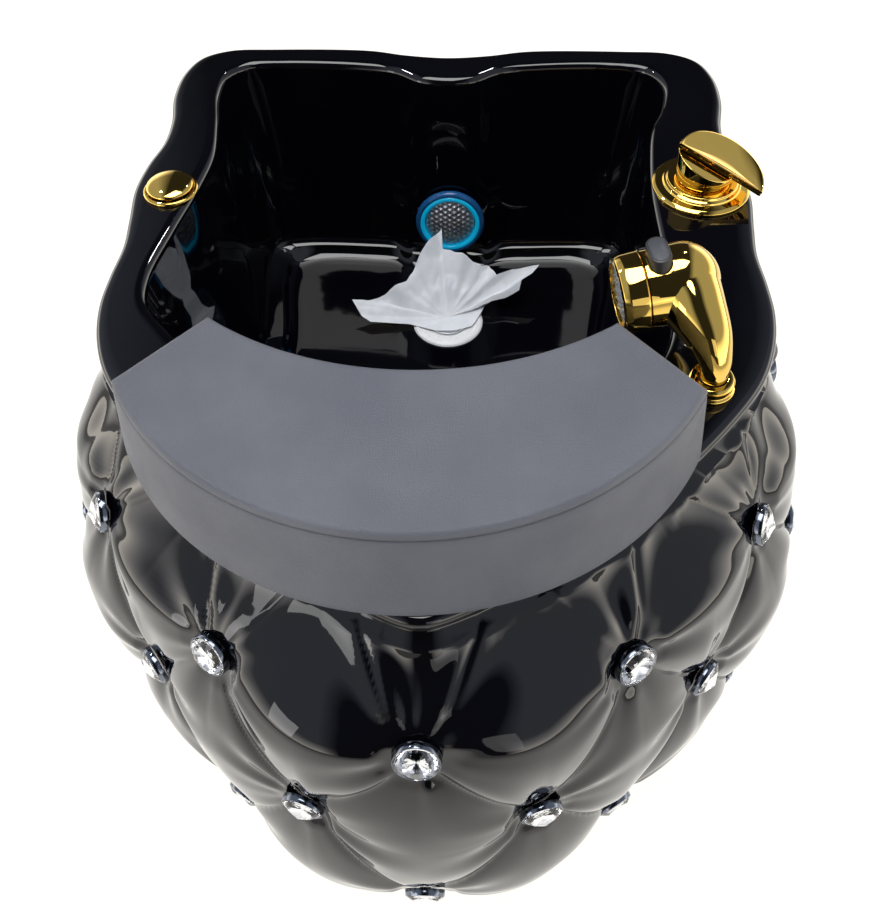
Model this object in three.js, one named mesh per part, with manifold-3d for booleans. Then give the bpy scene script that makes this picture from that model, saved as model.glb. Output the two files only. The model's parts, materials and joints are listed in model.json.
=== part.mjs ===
// Tufted foot-spa basin with gold fittings, a water jet and a loose rest pad.
// Millimetres, +Z up, front towards -Y. The origin is on the floor, under the middle of the unit.
import * as THREE from 'three';
import Module from 'manifold-3d';
import { mergeVertices } from 'three/addons/utils/BufferGeometryUtils.js';

// ---------------------------------------------------------------- driving dimensions
const DECK_Z = 420;                // top of the deck above the floor
const RIM_CENTRE_Y = 43;           // middle of the rim, behind the middle of the whole unit
const WALL = 5;                    // thickness of the mouldings
const GAP = 0.3;                   // clearance between pieces that touch
const LIP_HEIGHT = 9;              // rolled lip that hangs over the shell
const LIP_THICKNESS = 4;
const BASIN_DEPTH = 197;           // deck to basin floor
const SHOULDER_HEIGHT = 14;        // step round the basin floor
const FLOOR_Z = DECK_Z - BASIN_DEPTH;
const SHOULDER_Z = FLOOR_Z + SHOULDER_HEIGHT;
const UNDER_FLOOR_Z = FLOOR_Z - WALL;
const UNDER_DECK_Z = DECK_Z - WALL;

// Places below are measured from the middle of the rim.
const DRAIN = { x: 3, y: 134, hole: 21 };
const MIXER = { x: 210, y: 94, hole: 16 };
const SPRAY = { x: 187, y: -122, hole: 12.6 };
const AIR_SWITCH = { x: -219, y: 82, hole: 9.6 };
const JET = { x: 3, y: 227.6, z: FLOOR_Z + 52, tilt: THREE.MathUtils.degToRad(7.2), hole: 25.6 };

// The shell is laid out by angle round this point, from the front.
const SHELL_CENTRE_Y = -96;
const SHELL_FOOT_Z = 10;
const SHELL_TOP_INSET = 5.5;       // shell edge inside the rim outline
const TUFT_STEP = 2 * Math.PI / 10.5;
const BUTTON_STANDOFF = 2;         // button seats over the button line
const TUFT_DEPTH = 16;             // pillow height over the button line
const PUFF_SHARE = 0.68;           // how round the pillows are; the rest keeps the seams sharp
const POCKET_RADIUS = 16;          // flat pocket round each button
const TOP_BLEND = [352, 408];      // heights over which the belly runs into the rim outline
const TUFT_TOP = [395, 420];       // heights over which the tufting runs out at the rim
const TUFT_FOOT = [5, 50];         // and at the foot
const TUFT_FADE = [2.0, 2.5];      // angles where the tufting runs out into the plain back
// One row for each height: half width, reach to the front and reach to the back of the button line.
const SHELL_ROWS = [
  { z: SHELL_FOOT_Z, side: 172, front: 186, back: 330 },
  { z: 60, side: 236, front: 244, back: 376 },
  { z: 139, side: 277, front: 279, back: 393 },
  { z: 255, side: 280, front: 272, back: 394 },
  { z: 350, side: 252, front: 254, back: 394 },
  { z: DECK_Z, side: 240, front: 215, back: 392 },
];
const SHELL_TAPER = 0.1;           // how much the front quarters are drawn in from an ellipse
// Heights of the button rows; the diamonds run between them.
const BUTTON_ROWS = [
  { z: 430, row: -0.5 },
  { z: 350, row: 0 },
  { z: 255, row: 0.5 },
  { z: 139, row: 1 },
  { z: 20, row: 1.5 },
  { z: -90, row: 2 },
];
const CRYSTALS = [
  { row: 'upper', z: 350, steps: [-2, -1, 0, 1, 2] },
  { row: 'middle', z: 255, steps: [-2.5, -1.5, -0.5, 0.5, 1.5, 2.5] },
  { row: 'lower', z: 139, steps: [0] },
];

// Half of the rim outline, right side, from the back to the front.
const RIM_HALF = [
  [0, 289], [38, 293], [75, 301], [165, 302], [208, 299], [233, 285], [245, 258], [247, 222],
  [241, 182], [241, 150], [248, 118], [251, 86], [247, 48], [244, 16], [246, -18], [246, -48],
  [240, -80], [226, -114], [200, -150], [160, -194], [112, -240], [72, -266], [34, -289], [0, -301],
];
// The opening, clockwise from the middle of the back. The right deck is the wider one.
const OPENING = [
  [0, 247], [26, 251], [50, 266], [80, 272], [150, 275], [184, 268], [196, 246], [192, 210],
  [179, 175], [173, 135], [170, 90], [171, 30], [172, -30], [166, -76], [146, -112], [98, -154],
  [48, -178], [0, -185], [-52, -178], [-106, -152], [-152, -112], [-188, -74], [-210, -46],
  [-215, -16], [-207, 40], [-197, 95], [-193, 135], [-198, 180], [-205, 225], [-202, 256],
  [-186, 271], [-150, 275], [-80, 272], [-50, 266], [-26, 251],
];
const SHOULDER = [
  [0, 226], [36, 227], [52, 235], [80, 238], [150, 238], [178, 228], [184, 200], [168, 100],
  [160, 20], [156, -40], [136, -92], [92, -124], [0, -140], [-96, -124], [-144, -92], [-170, -40],
  [-176, 20], [-178, 100], [-186, 200], [-180, 228], [-150, 238], [-80, 238], [-52, 235], [-36, 227],
];
const BASIN_FLOOR = [
  [0, 222], [36, 223], [52, 230], [80, 233], [140, 232], [162, 218], [164, 190], [148, 100],
  [142, 20], [136, -36], [112, -80], [66, -106], [0, -116], [-70, -106], [-118, -80], [-144, -36],
  [-150, 20], [-152, 100], [-164, 190], [-162, 218], [-140, 232], [-80, 233], [-52, 230], [-36, 223],
];

// The pad's outline is two arcs. Radius, centre and half angle of the front arc, at the seat and the top.
const PAD = {
  x: -10,
  seat: DECK_Z + GAP,
  height: 61,
  frontAtSeat: { radius: 203, y: -94, half: 0.357 * Math.PI },
  frontAtTop: { radius: 200, y: -81, half: 0.342 * Math.PI },
  back: { radius: 216, y: 52, half: 0.202 * Math.PI },
  edge: 2,
};
const MIXER_LEVER_TILT = THREE.MathUtils.degToRad(20);
const MIXER_TURN = THREE.MathUtils.degToRad(-22);
const FOOT_PLACES = [[-95, -180], [95, -180], [-105, 110], [105, 110]];
const BOARD_Z = SHELL_FOOT_Z + 2;
const BOARD_THICKNESS = 15;
const SERVICE_HOLE = { left: -70, right: 60, front: -90, back: 110 };
const CONTROL_BOX = { x: -102, y: 82, width: 52, depth: 90, height: 26 };

const MIXER_NECK = { radius: 22, bore: 17, base: 9.6, top: 27 };   // top is the height on its axis
const LEVER = { left: -25, straightEdge: -9, width: 75, reach: 37, thickness: 5 };

const SPRAY_HEAD = new THREE.Vector3(-23, 49, 49);                 // ball of the head, from the collar
const NOZZLE_AIM = new THREE.Vector3(-0.975, -0.15, -0.165).normalize();
const HEAD_RADIUS = 26.5;
const BARREL_LENGTH = 24;          // from the ball's centre to the nozzle ring
const HANDLE_STATIONS = [
  { at: [0, 0, 12], radius: 9.2 },
  { at: [0, 0, 16], radius: 9.4 },
  { at: [-1, 3, 24], radius: 11.2 },
  { at: [-6, 13, 35], radius: 15.4 },
  { at: [-14, 28, 44], radius: 20 },
  { at: [-20, 42, 48], radius: 24 },
];
const THUMB = { along: 14, width: 14, length: 25, proud: 6.6, travel: 2.5 };
const JET_SEAT_RADIUS = 36;

// Routes from the fitting they hang from: supply tails, spray hose and air tube.
const HOT_TAIL = [[-7, 5, -62.4], [-7, 5, -90], [-12, 14, -150], [-12, 14, -220]];
const COLD_TAIL = [[7, 5, -62.4], [7, 5, -90], [6, 14, -150], [6, 14, -220]];
const FERRULE = { radius: 9.2, foot: -24, top: 11.6 };             // hose end that sits in the collar
const HOSE_RISER = [[0, 0, -24.4], [0, 0, -60], [0, 0, -100], [0, 0, -165]];
const HOSE_LOOP = [
  [0, 0, -167], [0, 2, -185], [-2, 24, -215], [0, 70, -232], [8, 120, -215], [16, 170, -170],
  [22, 200, -120], [23, 208, -90], [23, 208, -63],
];
const AIR_TUBE = [
  [0, 0, -44.5], [2, -2, -90], [24, -8, -220], [60, -6, -320], [92, 0, -345], [97, 0, -366],
];

// ---------------------------------------------------------------- materials
function finish(color, roughness, metalness) {
  return new THREE.MeshStandardMaterial({ color, roughness, metalness });
}
const gelcoat = finish(0x08090c, 0.06, 0);
const gold = finish(0xd9a52e, 0.12, 1);
const brass = finish(0xb08d4a, 0.35, 1);
const steel = finish(0xb9bcc0, 0.35, 1);
const crystal = finish(0xe8eef2, 0.03, 0);
const padLeather = finish(0x3b3f47, 0.7, 0);
const ledRing = finish(0x25a5d0, 0.2, 0);
const wireMesh = finish(0x8f9499, 0.45, 0.9);
const blackPlastic = finish(0x1c1d20, 0.45, 0);
const greyPlastic = finish(0x6c7075, 0.5, 0);
const whitePlastic = finish(0xe3e4e2, 0.4, 0);
const rubber = finish(0x151515, 0.85, 0);
const board = finish(0x2b2927, 0.7, 0);

// ---------------------------------------------------------------- geometry helpers
const wasm = await Module();
wasm.setup();

// Joins equal vertices, drops flat triangles and turns the faces outwards.
function weld(geometry) {
  const bare = geometry.clone();
  bare.deleteAttribute('normal');
  bare.deleteAttribute('uv');
  const merged = mergeVertices(bare, 1e-4);
  const points = merged.attributes.position;
  const kept = [];
  let volume = 0;
  const [a, b, c] = [new THREE.Vector3(), new THREE.Vector3(), new THREE.Vector3()];
  for (let i = 0; i < merged.index.count; i += 3) {
    const corner = [0, 1, 2].map((k) => merged.index.getX(i + k));
    if (new Set(corner).size < 3) continue;
    kept.push(...corner);
    a.fromBufferAttribute(points, corner[0]);
    b.fromBufferAttribute(points, corner[1]);
    c.fromBufferAttribute(points, corner[2]);
    volume += a.dot(b.cross(c));
  }
  if (volume < 0) {
    for (let i = 0; i < kept.length; i += 3) [kept[i], kept[i + 1]] = [kept[i + 1], kept[i]];
  }
  merged.setIndex(kept);
  return merged;
}

function toManifold(geometry) {
  const solid = weld(geometry);
  return new wasm.Manifold(new wasm.Mesh({
    numProp: 3,
    vertProperties: Float32Array.from(solid.attributes.position.array),
    triVerts: Uint32Array.from(solid.index.array),
  }));
}

function fromManifold(solid) {
  const made = solid.getMesh();
  const geometry = new THREE.BufferGeometry();
  geometry.setAttribute('position', new THREE.Float32BufferAttribute(made.vertProperties, 3));
  geometry.setIndex(Array.from(made.triVerts));
  return geometry;
}

function cut(base, ...tools) {
  return fromManifold(tools.reduce((solid, tool) => solid.subtract(toManifold(tool)), toManifold(base)));
}

function join(base, ...others) {
  return fromManifold(others.reduce((solid, other) => solid.add(toManifold(other)), toManifold(base)));
}

// A turned shape: [radius, height] points, round the Z axis.
function turned(profile, segments = 16) {
  const points = profile.map(([radius, height]) => new THREE.Vector2(radius, height));
  return weld(new THREE.LatheGeometry(points, segments).rotateX(Math.PI / 2));
}

function disc(radius, low, high, segments = 16) {
  return turned([[0, low], [radius, low], [radius, high], [0, high]], segments);
}

function ring(inner, outer, low, high, segments = 20) {
  return turned([[inner, low], [outer, low], [outer, high], [inner, high], [inner, low]], segments);
}

// A six-sided nut with a round hole, lying between two heights.
function hexNut(inner, acrossFlats, low, high) {
  const hexagon = new THREE.Shape();
  for (let i = 0; i < 6; i += 1) {
    const angle = i * Math.PI / 3;
    const radius = acrossFlats / Math.sqrt(3);
    hexagon[i ? 'lineTo' : 'moveTo'](radius * Math.cos(angle), radius * Math.sin(angle));
  }
  hexagon.closePath();
  hexagon.holes.push(new THREE.Path().absarc(0, 0, inner, 0, 2 * Math.PI, true));
  const options = { depth: high - low, bevelEnabled: false, curveSegments: 8 };
  return weld(new THREE.ExtrudeGeometry(hexagon, options).translate(0, 0, low));
}

// A round tube or rod along a smooth curve through the points.
function rodAlong(points, radius, steps) {
  const route = points.map((point) => new THREE.Vector3(...point));
  const curve = new THREE.CatmullRomCurve3(route, false, 'centripetal');
  const section = new THREE.Shape().absarc(0, 0, radius, 0, 2 * Math.PI, false);
  return weld(new THREE.ExtrudeGeometry(section, { steps, curveSegments: 4, extrudePath: curve }));
}

// Skins rings of equal length, in order, and closes both ends with flat faces. The faces are worked
// out in plan, so that a ring may be concave; a ring seen edge-on in plan is closed by a fan.
function skinRings(rings, capInPlan = false) {
  const count = rings[0].length;
  const positions = rings.flat(2);
  const index = [];
  for (let j = 0; j + 1 < rings.length; j += 1) {
    for (let i = 0; i < count; i += 1) {
      const [p, q] = [j * count + i, j * count + (i + 1) % count];
      index.push(p, q, q + count, p, q + count, p + count);
    }
  }
  const last = (rings.length - 1) * count;
  const plan = rings[0].map(([x, y]) => new THREE.Vector2(x, y));
  const fan = Array.from({ length: count - 2 }, (_, i) => [0, i + 1, i + 2]);
  const faces = capInPlan ? THREE.ShapeUtils.triangulateShape(plan, []) : fan;
  for (const [a, b, c] of faces) {
    index.push(a, c, b, last + a, last + b, last + c);
  }
  const geometry = new THREE.BufferGeometry();
  geometry.setAttribute('position', new THREE.Float32BufferAttribute(positions, 3));
  geometry.setIndex(index);
  return weld(geometry);
}

// Skins rings of equal length into a closed tube whose last ring joins its first.
function skinLoop(rings) {
  const count = rings[0].length;
  const index = [];
  rings.forEach((ringPoints, j) => {
    const next = (j + 1) % rings.length;
    for (let i = 0; i < count; i += 1) {
      const k = (i + 1) % count;
      index.push(j * count + i, j * count + k, next * count + k);
      index.push(j * count + i, next * count + k, next * count + i);
    }
  });
  const geometry = new THREE.BufferGeometry();
  geometry.setAttribute('position', new THREE.Float32BufferAttribute(rings.flat(2), 3));
  geometry.setIndex(index);
  return weld(geometry);
}

// Distance from a centre to a closed outline drawn clockwise, moved inwards by inset, as a function of
// the angle.
function outlineRadius(outline, centre, inset = 0) {
  const corners = outline.map(([x, y]) => new THREE.Vector3(x, y, 0));
  const curve = new THREE.CatmullRomCurve3(corners, true, 'centripetal');
  const samples = 720;
  const polar = Array.from({ length: samples }, (_, i) => {
    const point = curve.getPoint(i / samples);
    const along = curve.getTangent(i / samples);
    const x = point.x + along.y * inset - centre.x;
    const y = point.y - along.x * inset - centre.y;
    return { angle: Math.atan2(y, x), radius: Math.hypot(x, y) };
  }).sort((p, q) => p.angle - q.angle);
  const turn = 2 * Math.PI;
  return (angle) => {
    const wanted = ((angle + Math.PI) % turn + turn) % turn - Math.PI;
    const after = Math.max(polar.findIndex((p) => p.angle >= wanted), 0);
    const high = polar[after];
    const low = polar[(after + polar.length - 1) % polar.length];
    const span = ((high.angle - low.angle) % turn + turn) % turn || 1;
    const share = (((wanted - low.angle) % turn + turn) % turn) / span;
    return low.radius + (high.radius - low.radius) * share;
  };
}

const rimOutline = [...RIM_HALF, ...RIM_HALF.slice(1, -1).reverse().map(([x, y]) => [-x, y])];

// ---------------------------------------------------------------- basin and deck
function basinDeck() {
  const centre = new THREE.Vector2(DRAIN.x, DRAIN.y);
  const rim = outlineRadius(rimOutline, centre);
  const skirt = outlineRadius(rimOutline, centre, LIP_THICKNESS);
  const opening = outlineRadius(OPENING, centre);
  const shoulder = outlineRadius(SHOULDER, centre);
  const floor = outlineRadius(BASIN_FLOOR, centre);
  const segments = 66;
  const profileAt = (angle) => {
    const [out, open, step, low] = [rim, opening, shoulder, floor].map((radius) => radius(angle));
    const inside = skirt(angle);
    return [
      [out, DECK_Z - LIP_HEIGHT], [out, DECK_Z - 3], [out - 3, DECK_Z], [open + 7, DECK_Z],
      [open, DECK_Z - 7], [step, SHOULDER_Z], [low, FLOOR_Z], [DRAIN.hole, FLOOR_Z],
      [DRAIN.hole, UNDER_FLOOR_Z], [low + 3, UNDER_FLOOR_Z], [step + WALL, SHOULDER_Z - 3],
      [open + WALL, DECK_Z - 11], [open + WALL + 4, UNDER_DECK_Z], [inside, UNDER_DECK_Z],
      [inside, DECK_Z - LIP_HEIGHT],
    ];
  };
  const columns = [];
  for (let i = 0; i < segments; i += 1) {
    const angle = i / segments * 2 * Math.PI;
    columns.push(profileAt(angle).map(([radius, z]) => [
      centre.x + radius * Math.cos(angle), centre.y + radius * Math.sin(angle), z,
    ]));
  }
  const holes = [MIXER, SPRAY, AIR_SWITCH].map(({ x, y, hole }) => (
    disc(hole, DECK_Z - 12, DECK_Z + 5).translate(x, y, 0)
  ));
  const jetHole = disc(JET.hole, -20, 20).applyMatrix4(jetFrame());
  const jetSeat = disc(JET_SEAT_RADIUS, 0, 12, 32).applyMatrix4(jetFrame());
  return cut(skinLoop(columns), ...holes, jetHole, jetSeat);
}

// ---------------------------------------------------------------- tufted shell
function smoothstep(low, high, value) {
  return THREE.MathUtils.smoothstep(value, low, high);
}

// A value from a table of heights, smoothed between its rows.
function atHeight(table, z, key) {
  const rows = [...table].sort((p, q) => p.z - q.z);
  const i = Math.min(Math.max(rows.findIndex((row) => row.z >= z), 1), rows.length - 1);
  const slope = (k) => {
    const [before, after] = [rows[Math.max(k - 1, 0)], rows[Math.min(k + 1, rows.length - 1)]];
    return (after[key] - before[key]) / (after.z - before.z);
  };
  const [low, high] = [rows[i - 1], rows[i]];
  const span = high.z - low.z;
  const t = THREE.MathUtils.clamp((z - low.z) / span, 0, 1);
  return low[key] * (2 * t ** 3 - 3 * t ** 2 + 1) + high[key] * (3 * t ** 2 - 2 * t ** 3)
    + slope(i - 1) * span * (t ** 3 - 2 * t ** 2 + t) + slope(i) * span * (t ** 3 - t ** 2);
}

// Angles run from the front, positive to +X.
// Height of the pillows: 0 at a button, 1 in the middle of a diamond.
function pillow(angle, z) {
  const across = angle / TUFT_STEP;
  const row = atHeight(BUTTON_ROWS, z, 'row');
  const [rising, falling] = [across + row, across - row].map((v) => Math.abs(Math.sin(Math.PI * v)));
  const puff = Math.sqrt(rising * falling);
  const crease = Math.max(rising, falling);
  return PUFF_SHARE * puff + (1 - PUFF_SHARE) * crease;
}

const shellCentre = new THREE.Vector2(0, SHELL_CENTRE_Y);
const shellTop = outlineRadius(rimOutline, shellCentre, SHELL_TOP_INSET);

// Distance of the button line from the shell's centre.
function buttonLine(angle, z) {
  const side = atHeight(SHELL_ROWS, z, 'side');
  const isFront = Math.cos(angle) > 0;
  const reach = atHeight(SHELL_ROWS, z, isFront ? 'front' : 'back');
  const squareness = isFront ? 2 : 8;
  const [u, v] = [Math.abs(Math.sin(angle)) / side, Math.abs(Math.cos(angle)) / reach];
  const taper = isFront ? 1 - SHELL_TAPER * Math.sin(2 * angle) ** 2 : 1;
  return taper * (u ** squareness + v ** squareness) ** (-1 / squareness);
}

// A point raised from the button line, which runs into the rim's outline at the top.
function surfacePoint(angle, z, rise) {
  const belly = buttonLine(angle, z) + Math.max(rise, 0);
  const top = shellTop(angle - Math.PI / 2);
  const radius = belly + (top - belly) * smoothstep(...TOP_BLEND, z) + Math.min(rise, 0);
  return [radius * Math.sin(angle), SHELL_CENTRE_Y - radius * Math.cos(angle), z];
}

function shellPoint(angle, z) {
  const aroundFade = 1 - smoothstep(...TUFT_FADE, Math.abs(angle));
  const heightFade = (1 - smoothstep(...TUFT_TOP, z)) * smoothstep(...TUFT_FOOT, z);
  return surfacePoint(angle, z, TUFT_DEPTH * pillow(angle, z) * aroundFade * heightFade);
}

function tuftedShell() {
  const columns = 63;
  const rows = 14;
  const insideEvery = 3;
  const outerHeights = Array.from({ length: rows + 1 }, (_, j) => (
    THREE.MathUtils.lerp(SHELL_FOOT_Z, TOP_BLEND[1], j / rows)
  ));
  outerHeights.push(DECK_Z - LIP_HEIGHT - GAP);
  const innerHeights = outerHeights.filter((z, j) => j % insideEvery === 0).reverse();
  const loop = (pointAt) => Array.from({ length: columns }, (_, i) => (
    pointAt((i / columns * 2 - 1) * Math.PI)
  ));
  const outside = outerHeights.map((z) => loop((angle) => shellPoint(angle, z)));
  const inside = innerHeights.map((z) => loop((angle) => surfacePoint(angle, z, -WALL)));
  const pockets = buttonSeats().map(({ matrix }) => disc(POCKET_RADIUS, 0, 40, 10).applyMatrix4(matrix));
  return cut(skinLoop([...outside, ...inside]), ...pockets);
}

// ---------------------------------------------------------------- crystal buttons
// A faceted stone in a turned collar, its axis along +Z and its seat at 0.
function crystalButton() {
  return turned([
    [0, GAP], [15, GAP], [15, 5], [11.5, 8], [6, 11], [0, 11],
  ], 10);
}

// Every button's name and its frame: local +Z is the shell's outward direction there.
function buttonSeats() {
  return CRYSTALS.flatMap(({ row, z, steps }) => steps.map((step, i) => {
    const angle = step * TUFT_STEP;
    const onLine = (height) => new THREE.Vector3(...surfacePoint(angle, height, 0));
    const rise = onLine(z + 30).sub(onLine(z - 30)).normalize();
    const along = new THREE.Vector3(Math.cos(angle), Math.sin(angle), 0);
    const outward = along.clone().cross(rise).normalize();
    const side = rise.clone().cross(outward);
    const seat = onLine(z).addScaledVector(outward, BUTTON_STANDOFF);
    const matrix = new THREE.Matrix4().makeBasis(side, rise, outward).setPosition(seat);
    return { name: `crystal_${row}_${i + 1}`, matrix };
  }));
}

// ---------------------------------------------------------------- rest pad
// Points along an arc that bulges to the front.
function frontArc({ radius, y, half }, count) {
  return Array.from({ length: count }, (_, i) => {
    const angle = THREE.MathUtils.lerp(-half, half, i / (count - 1));
    return [radius * Math.sin(angle), y - radius * Math.cos(angle)];
  });
}

function restPad() {
  const { frontAtSeat, frontAtTop, back, edge } = PAD;
  const level = (rise, shrink) => {
    const share = rise / PAD.height;
    const front = {
      radius: THREE.MathUtils.lerp(frontAtSeat.radius, frontAtTop.radius, share) - shrink,
      y: THREE.MathUtils.lerp(frontAtSeat.y, frontAtTop.y, share),
      half: THREE.MathUtils.lerp(frontAtSeat.half, frontAtTop.half, share),
    };
    const rear = { ...back, radius: back.radius + shrink };
    return [...frontArc(front, 19), ...frontArc(rear, 13).reverse()].map(([x, y]) => (
      [PAD.x + x, y, PAD.seat + rise]
    ));
  };
  return skinRings([level(0, 0), level(PAD.height - edge, 0), level(PAD.height, edge)], true);
}

// ---------------------------------------------------------------- mixer
// The neck is a cup, open below, whose top slopes down to +X.
function mixerNeck() {
  const { radius, bore, base, top } = MIXER_NECK;
  const ceiling = top - 6;
  const slope = Math.tan(MIXER_LEVER_TILT);
  const wall = turned([
    [0, ceiling], [bore, ceiling], [bore, base], [radius, base], [radius, top], [0, top],
  ], 28);
  const points = wall.attributes.position;
  for (let i = 0; i < points.count; i += 1) {
    const height = points.getZ(i);
    if (height > ceiling - GAP) points.setZ(i, height - slope * points.getX(i));
  }
  return wall;
}

// A half disc, straight in front and round behind, flat in its own plane.
function mixerLever() {
  const { left, straightEdge, width, reach, thickness } = LEVER;
  const outline = new THREE.Shape();
  outline.moveTo(left, straightEdge);
  outline.lineTo(left + width, straightEdge);
  outline.absellipse(left + width / 2, straightEdge, width / 2, reach, 0, Math.PI, false);
  outline.closePath();
  const options = { depth: thickness, bevelEnabled: false, curveSegments: 20 };
  return weld(new THREE.ExtrudeGeometry(outline, options));
}

function mixerShank() {
  return turned([
    [0, -62], [15.5, -62], [15.5, 6], [12.2, 6], [12.2, -42], [0, -42],
  ], 20);
}

// ---------------------------------------------------------------- spray
// Turns local +Z to the nozzle's aim.
function aimTurn() {
  return new THREE.Quaternion().setFromUnitVectors(new THREE.Vector3(0, 0, 1), NOZZLE_AIM);
}

function alongNozzle(geometry) {
  return geometry.applyQuaternion(aimTurn()).translate(...SPRAY_HEAD.toArray());
}

function sprayHandle() {
  const centres = HANDLE_STATIONS.map(({ at }) => new THREE.Vector3(...at));
  const rings = centres.map((centre, k) => {
    const before = centres[Math.max(k - 1, 0)];
    const after = centres[Math.min(k + 1, centres.length - 1)];
    const turn = new THREE.Quaternion().setFromUnitVectors(
      new THREE.Vector3(0, 0, 1), after.clone().sub(before).normalize(),
    );
    return Array.from({ length: 16 }, (_, i) => {
      const angle = i / 8 * Math.PI;
      const radius = HANDLE_STATIONS[k].radius;
      const rim = new THREE.Vector3(radius * Math.cos(angle), radius * Math.sin(angle), 0);
      return rim.applyQuaternion(turn).add(centre).toArray();
    });
  });
  return skinRings(rings);
}

// Places a piece on top of the barrel: local +Z stands off the barrel, local +X runs along the aim.
function buttonPlace(along, height) {
  const up = new THREE.Vector3(0, 0, 1);
  const outward = up.addScaledVector(NOZZLE_AIM, -up.dot(NOZZLE_AIM)).normalize();
  const side = outward.clone().cross(NOZZLE_AIM);
  const origin = SPRAY_HEAD.clone().addScaledVector(NOZZLE_AIM, along).addScaledVector(outward, height);
  return new THREE.Matrix4().makeBasis(NOZZLE_AIM, side, outward).setPosition(origin);
}

function ovalPrism(width, length, low, high) {
  const oval = new THREE.Shape();
  const straight = (length - width) / 2;
  oval.absarc(0, straight, width / 2, 0, Math.PI, false);
  oval.absarc(0, -straight, width / 2, Math.PI, 2 * Math.PI, false);
  const prism = new THREE.ExtrudeGeometry(oval, { depth: high - low, bevelEnabled: false, curveSegments: 6 });
  return weld(prism.translate(0, 0, low));
}

function sprayBody() {
  const ball = weld(new THREE.SphereGeometry(HEAD_RADIUS, 20, 12));
  const head = alongNozzle(join(ball, disc(HEAD_RADIUS, 0, BARREL_LENGTH, 20)));
  const pocket = ovalPrism(THUMB.width + 1.5, THUMB.length + 2, -THUMB.travel - THUMB.proud, 12);
  return cut(join(sprayHandle(), head), pocket.applyMatrix4(buttonPlace(THUMB.along, HEAD_RADIUS)));
}

// ---------------------------------------------------------------- water jet
// Local +Z points out of the back wall, into the basin.
function jetFrame() {
  const aim = new THREE.Matrix4().makeRotationX(Math.PI / 2 - JET.tilt);
  return aim.setPosition(JET.x, JET.y, JET.z);
}

function jetImpeller() {
  const hub = disc(7, -20, -8, 16);
  const blades = Array.from({ length: 6 }, (_, i) => (
    new THREE.BoxGeometry(14, 2, 10).translate(12, 0, -14).rotateZ(i * Math.PI / 3)
  ));
  const shaft = disc(2.6, -44, -19, 12);
  return join(hub, ...blades, shaft);
}

// ---------------------------------------------------------------- assembly
const unit = new THREE.Group();
const bowl = new THREE.Group();
bowl.position.y = RIM_CENTRE_Y;
unit.add(bowl);

function add(parent, name, geometry, material, place) {
  const piece = new THREE.Mesh(geometry, material);
  piece.name = name;
  if (place) piece.position.set(...place);
  parent.add(piece);
  return piece;
}

function station({ x, y }, z) {
  const group = new THREE.Group();
  group.position.set(x, y, z);
  bowl.add(group);
  return group;
}

function addMouldings() {
  add(bowl, 'basin_deck', basinDeck(), gelcoat);
  add(bowl, 'tufted_shell', tuftedShell(), gelcoat);
  add(bowl, 'rest_pad', restPad(), padLeather);
}

function addCrystals() {
  for (const { name, matrix } of buttonSeats()) {
    add(bowl, name, crystalButton(), crystal).applyMatrix4(matrix);
  }
}

function addMixer() {
  const at = station(MIXER, DECK_Z);
  add(at, 'mixer_escutcheon', turned([
    [16.6, GAP], [39, GAP], [39, 2.5], [37, 3.5], [29, 5.5], [28, 9], [16.6, 9], [16.6, GAP],
  ], 20), gold);
  add(at, 'mixer_shank', mixerShank(), brass);
  add(at, 'mixer_cartridge', disc(11.6, -41.6, 7.5, 18), whitePlastic);
  add(at, 'mixer_gasket', ring(16.2, 21.5, -WALL - GAP - 3, -WALL - GAP), rubber);
  add(at, 'mixer_lock_nut', hexNut(15.9, 38, -WALL - 14, -WALL - GAP - 3.4), brass);
  add(at, 'hot_inlet_tail', rodAlong(HOT_TAIL, 4.5, 10), steel);
  add(at, 'cold_inlet_tail', rodAlong(COLD_TAIL, 4.5, 10), steel);
  const swivel = new THREE.Group();
  swivel.rotation.z = MIXER_TURN;
  at.add(swivel);
  add(swivel, 'mixer_neck', mixerNeck(), gold);
  add(swivel, 'mixer_stem', turned([
    [0, 7.9], [7, 7.9], [7, 9.5], [4, 9.5], [4, 18.5], [0, 18.5],
  ], 16), steel);
  const lever = add(swivel, 'mixer_lever', mixerLever(), gold, [0, 0, MIXER_NECK.top + 2 * GAP]);
  lever.rotation.y = MIXER_LEVER_TILT;
}

function addSpray() {
  const at = station(SPRAY, DECK_Z);
  add(at, 'spray_collar', turned([
    [9.8, -42], [12, -42], [12, GAP], [16, GAP], [16, 3], [14.5, 5], [14.5, 8], [13.5, 10], [9.8, 10],
    [9.8, -42],
  ], 20), gold);
  add(at, 'spray_lock_nut', ring(12.4, 14.8, -WALL - 12, -WALL - GAP, 20), brass);
  add(at, 'spray_body', sprayBody(), gold);
  add(at, 'spray_nozzle_ring', alongNozzle(turned([
    [19, BARREL_LENGTH + GAP], [HEAD_RADIUS, BARREL_LENGTH + GAP], [25.5, BARREL_LENGTH + 17],
    [21.5, BARREL_LENGTH + 18], [21.5, BARREL_LENGTH + 12], [19, BARREL_LENGTH + 12],
    [19, BARREL_LENGTH + GAP],
  ], 28)), gold);
  add(at, 'spray_face', alongNozzle(disc(21.2, BARREL_LENGTH + 12.4, BARREL_LENGTH + 16, 28)), greyPlastic);
  const thumb = ovalPrism(THUMB.width, THUMB.length, -6.5, THUMB.proud);
  add(at, 'spray_thumb_button', thumb, blackPlastic).applyMatrix4(buttonPlace(THUMB.along, HEAD_RADIUS));
  add(at, 'spray_hose_ferrule', disc(FERRULE.radius, FERRULE.foot, FERRULE.top, 20), blackPlastic);
  add(at, 'spray_hose_riser', rodAlong(HOSE_RISER, 6, 10), steel);
  add(at, 'spray_hose_loop', rodAlong(HOSE_LOOP, 5.5, 26), steel);
}

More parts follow.
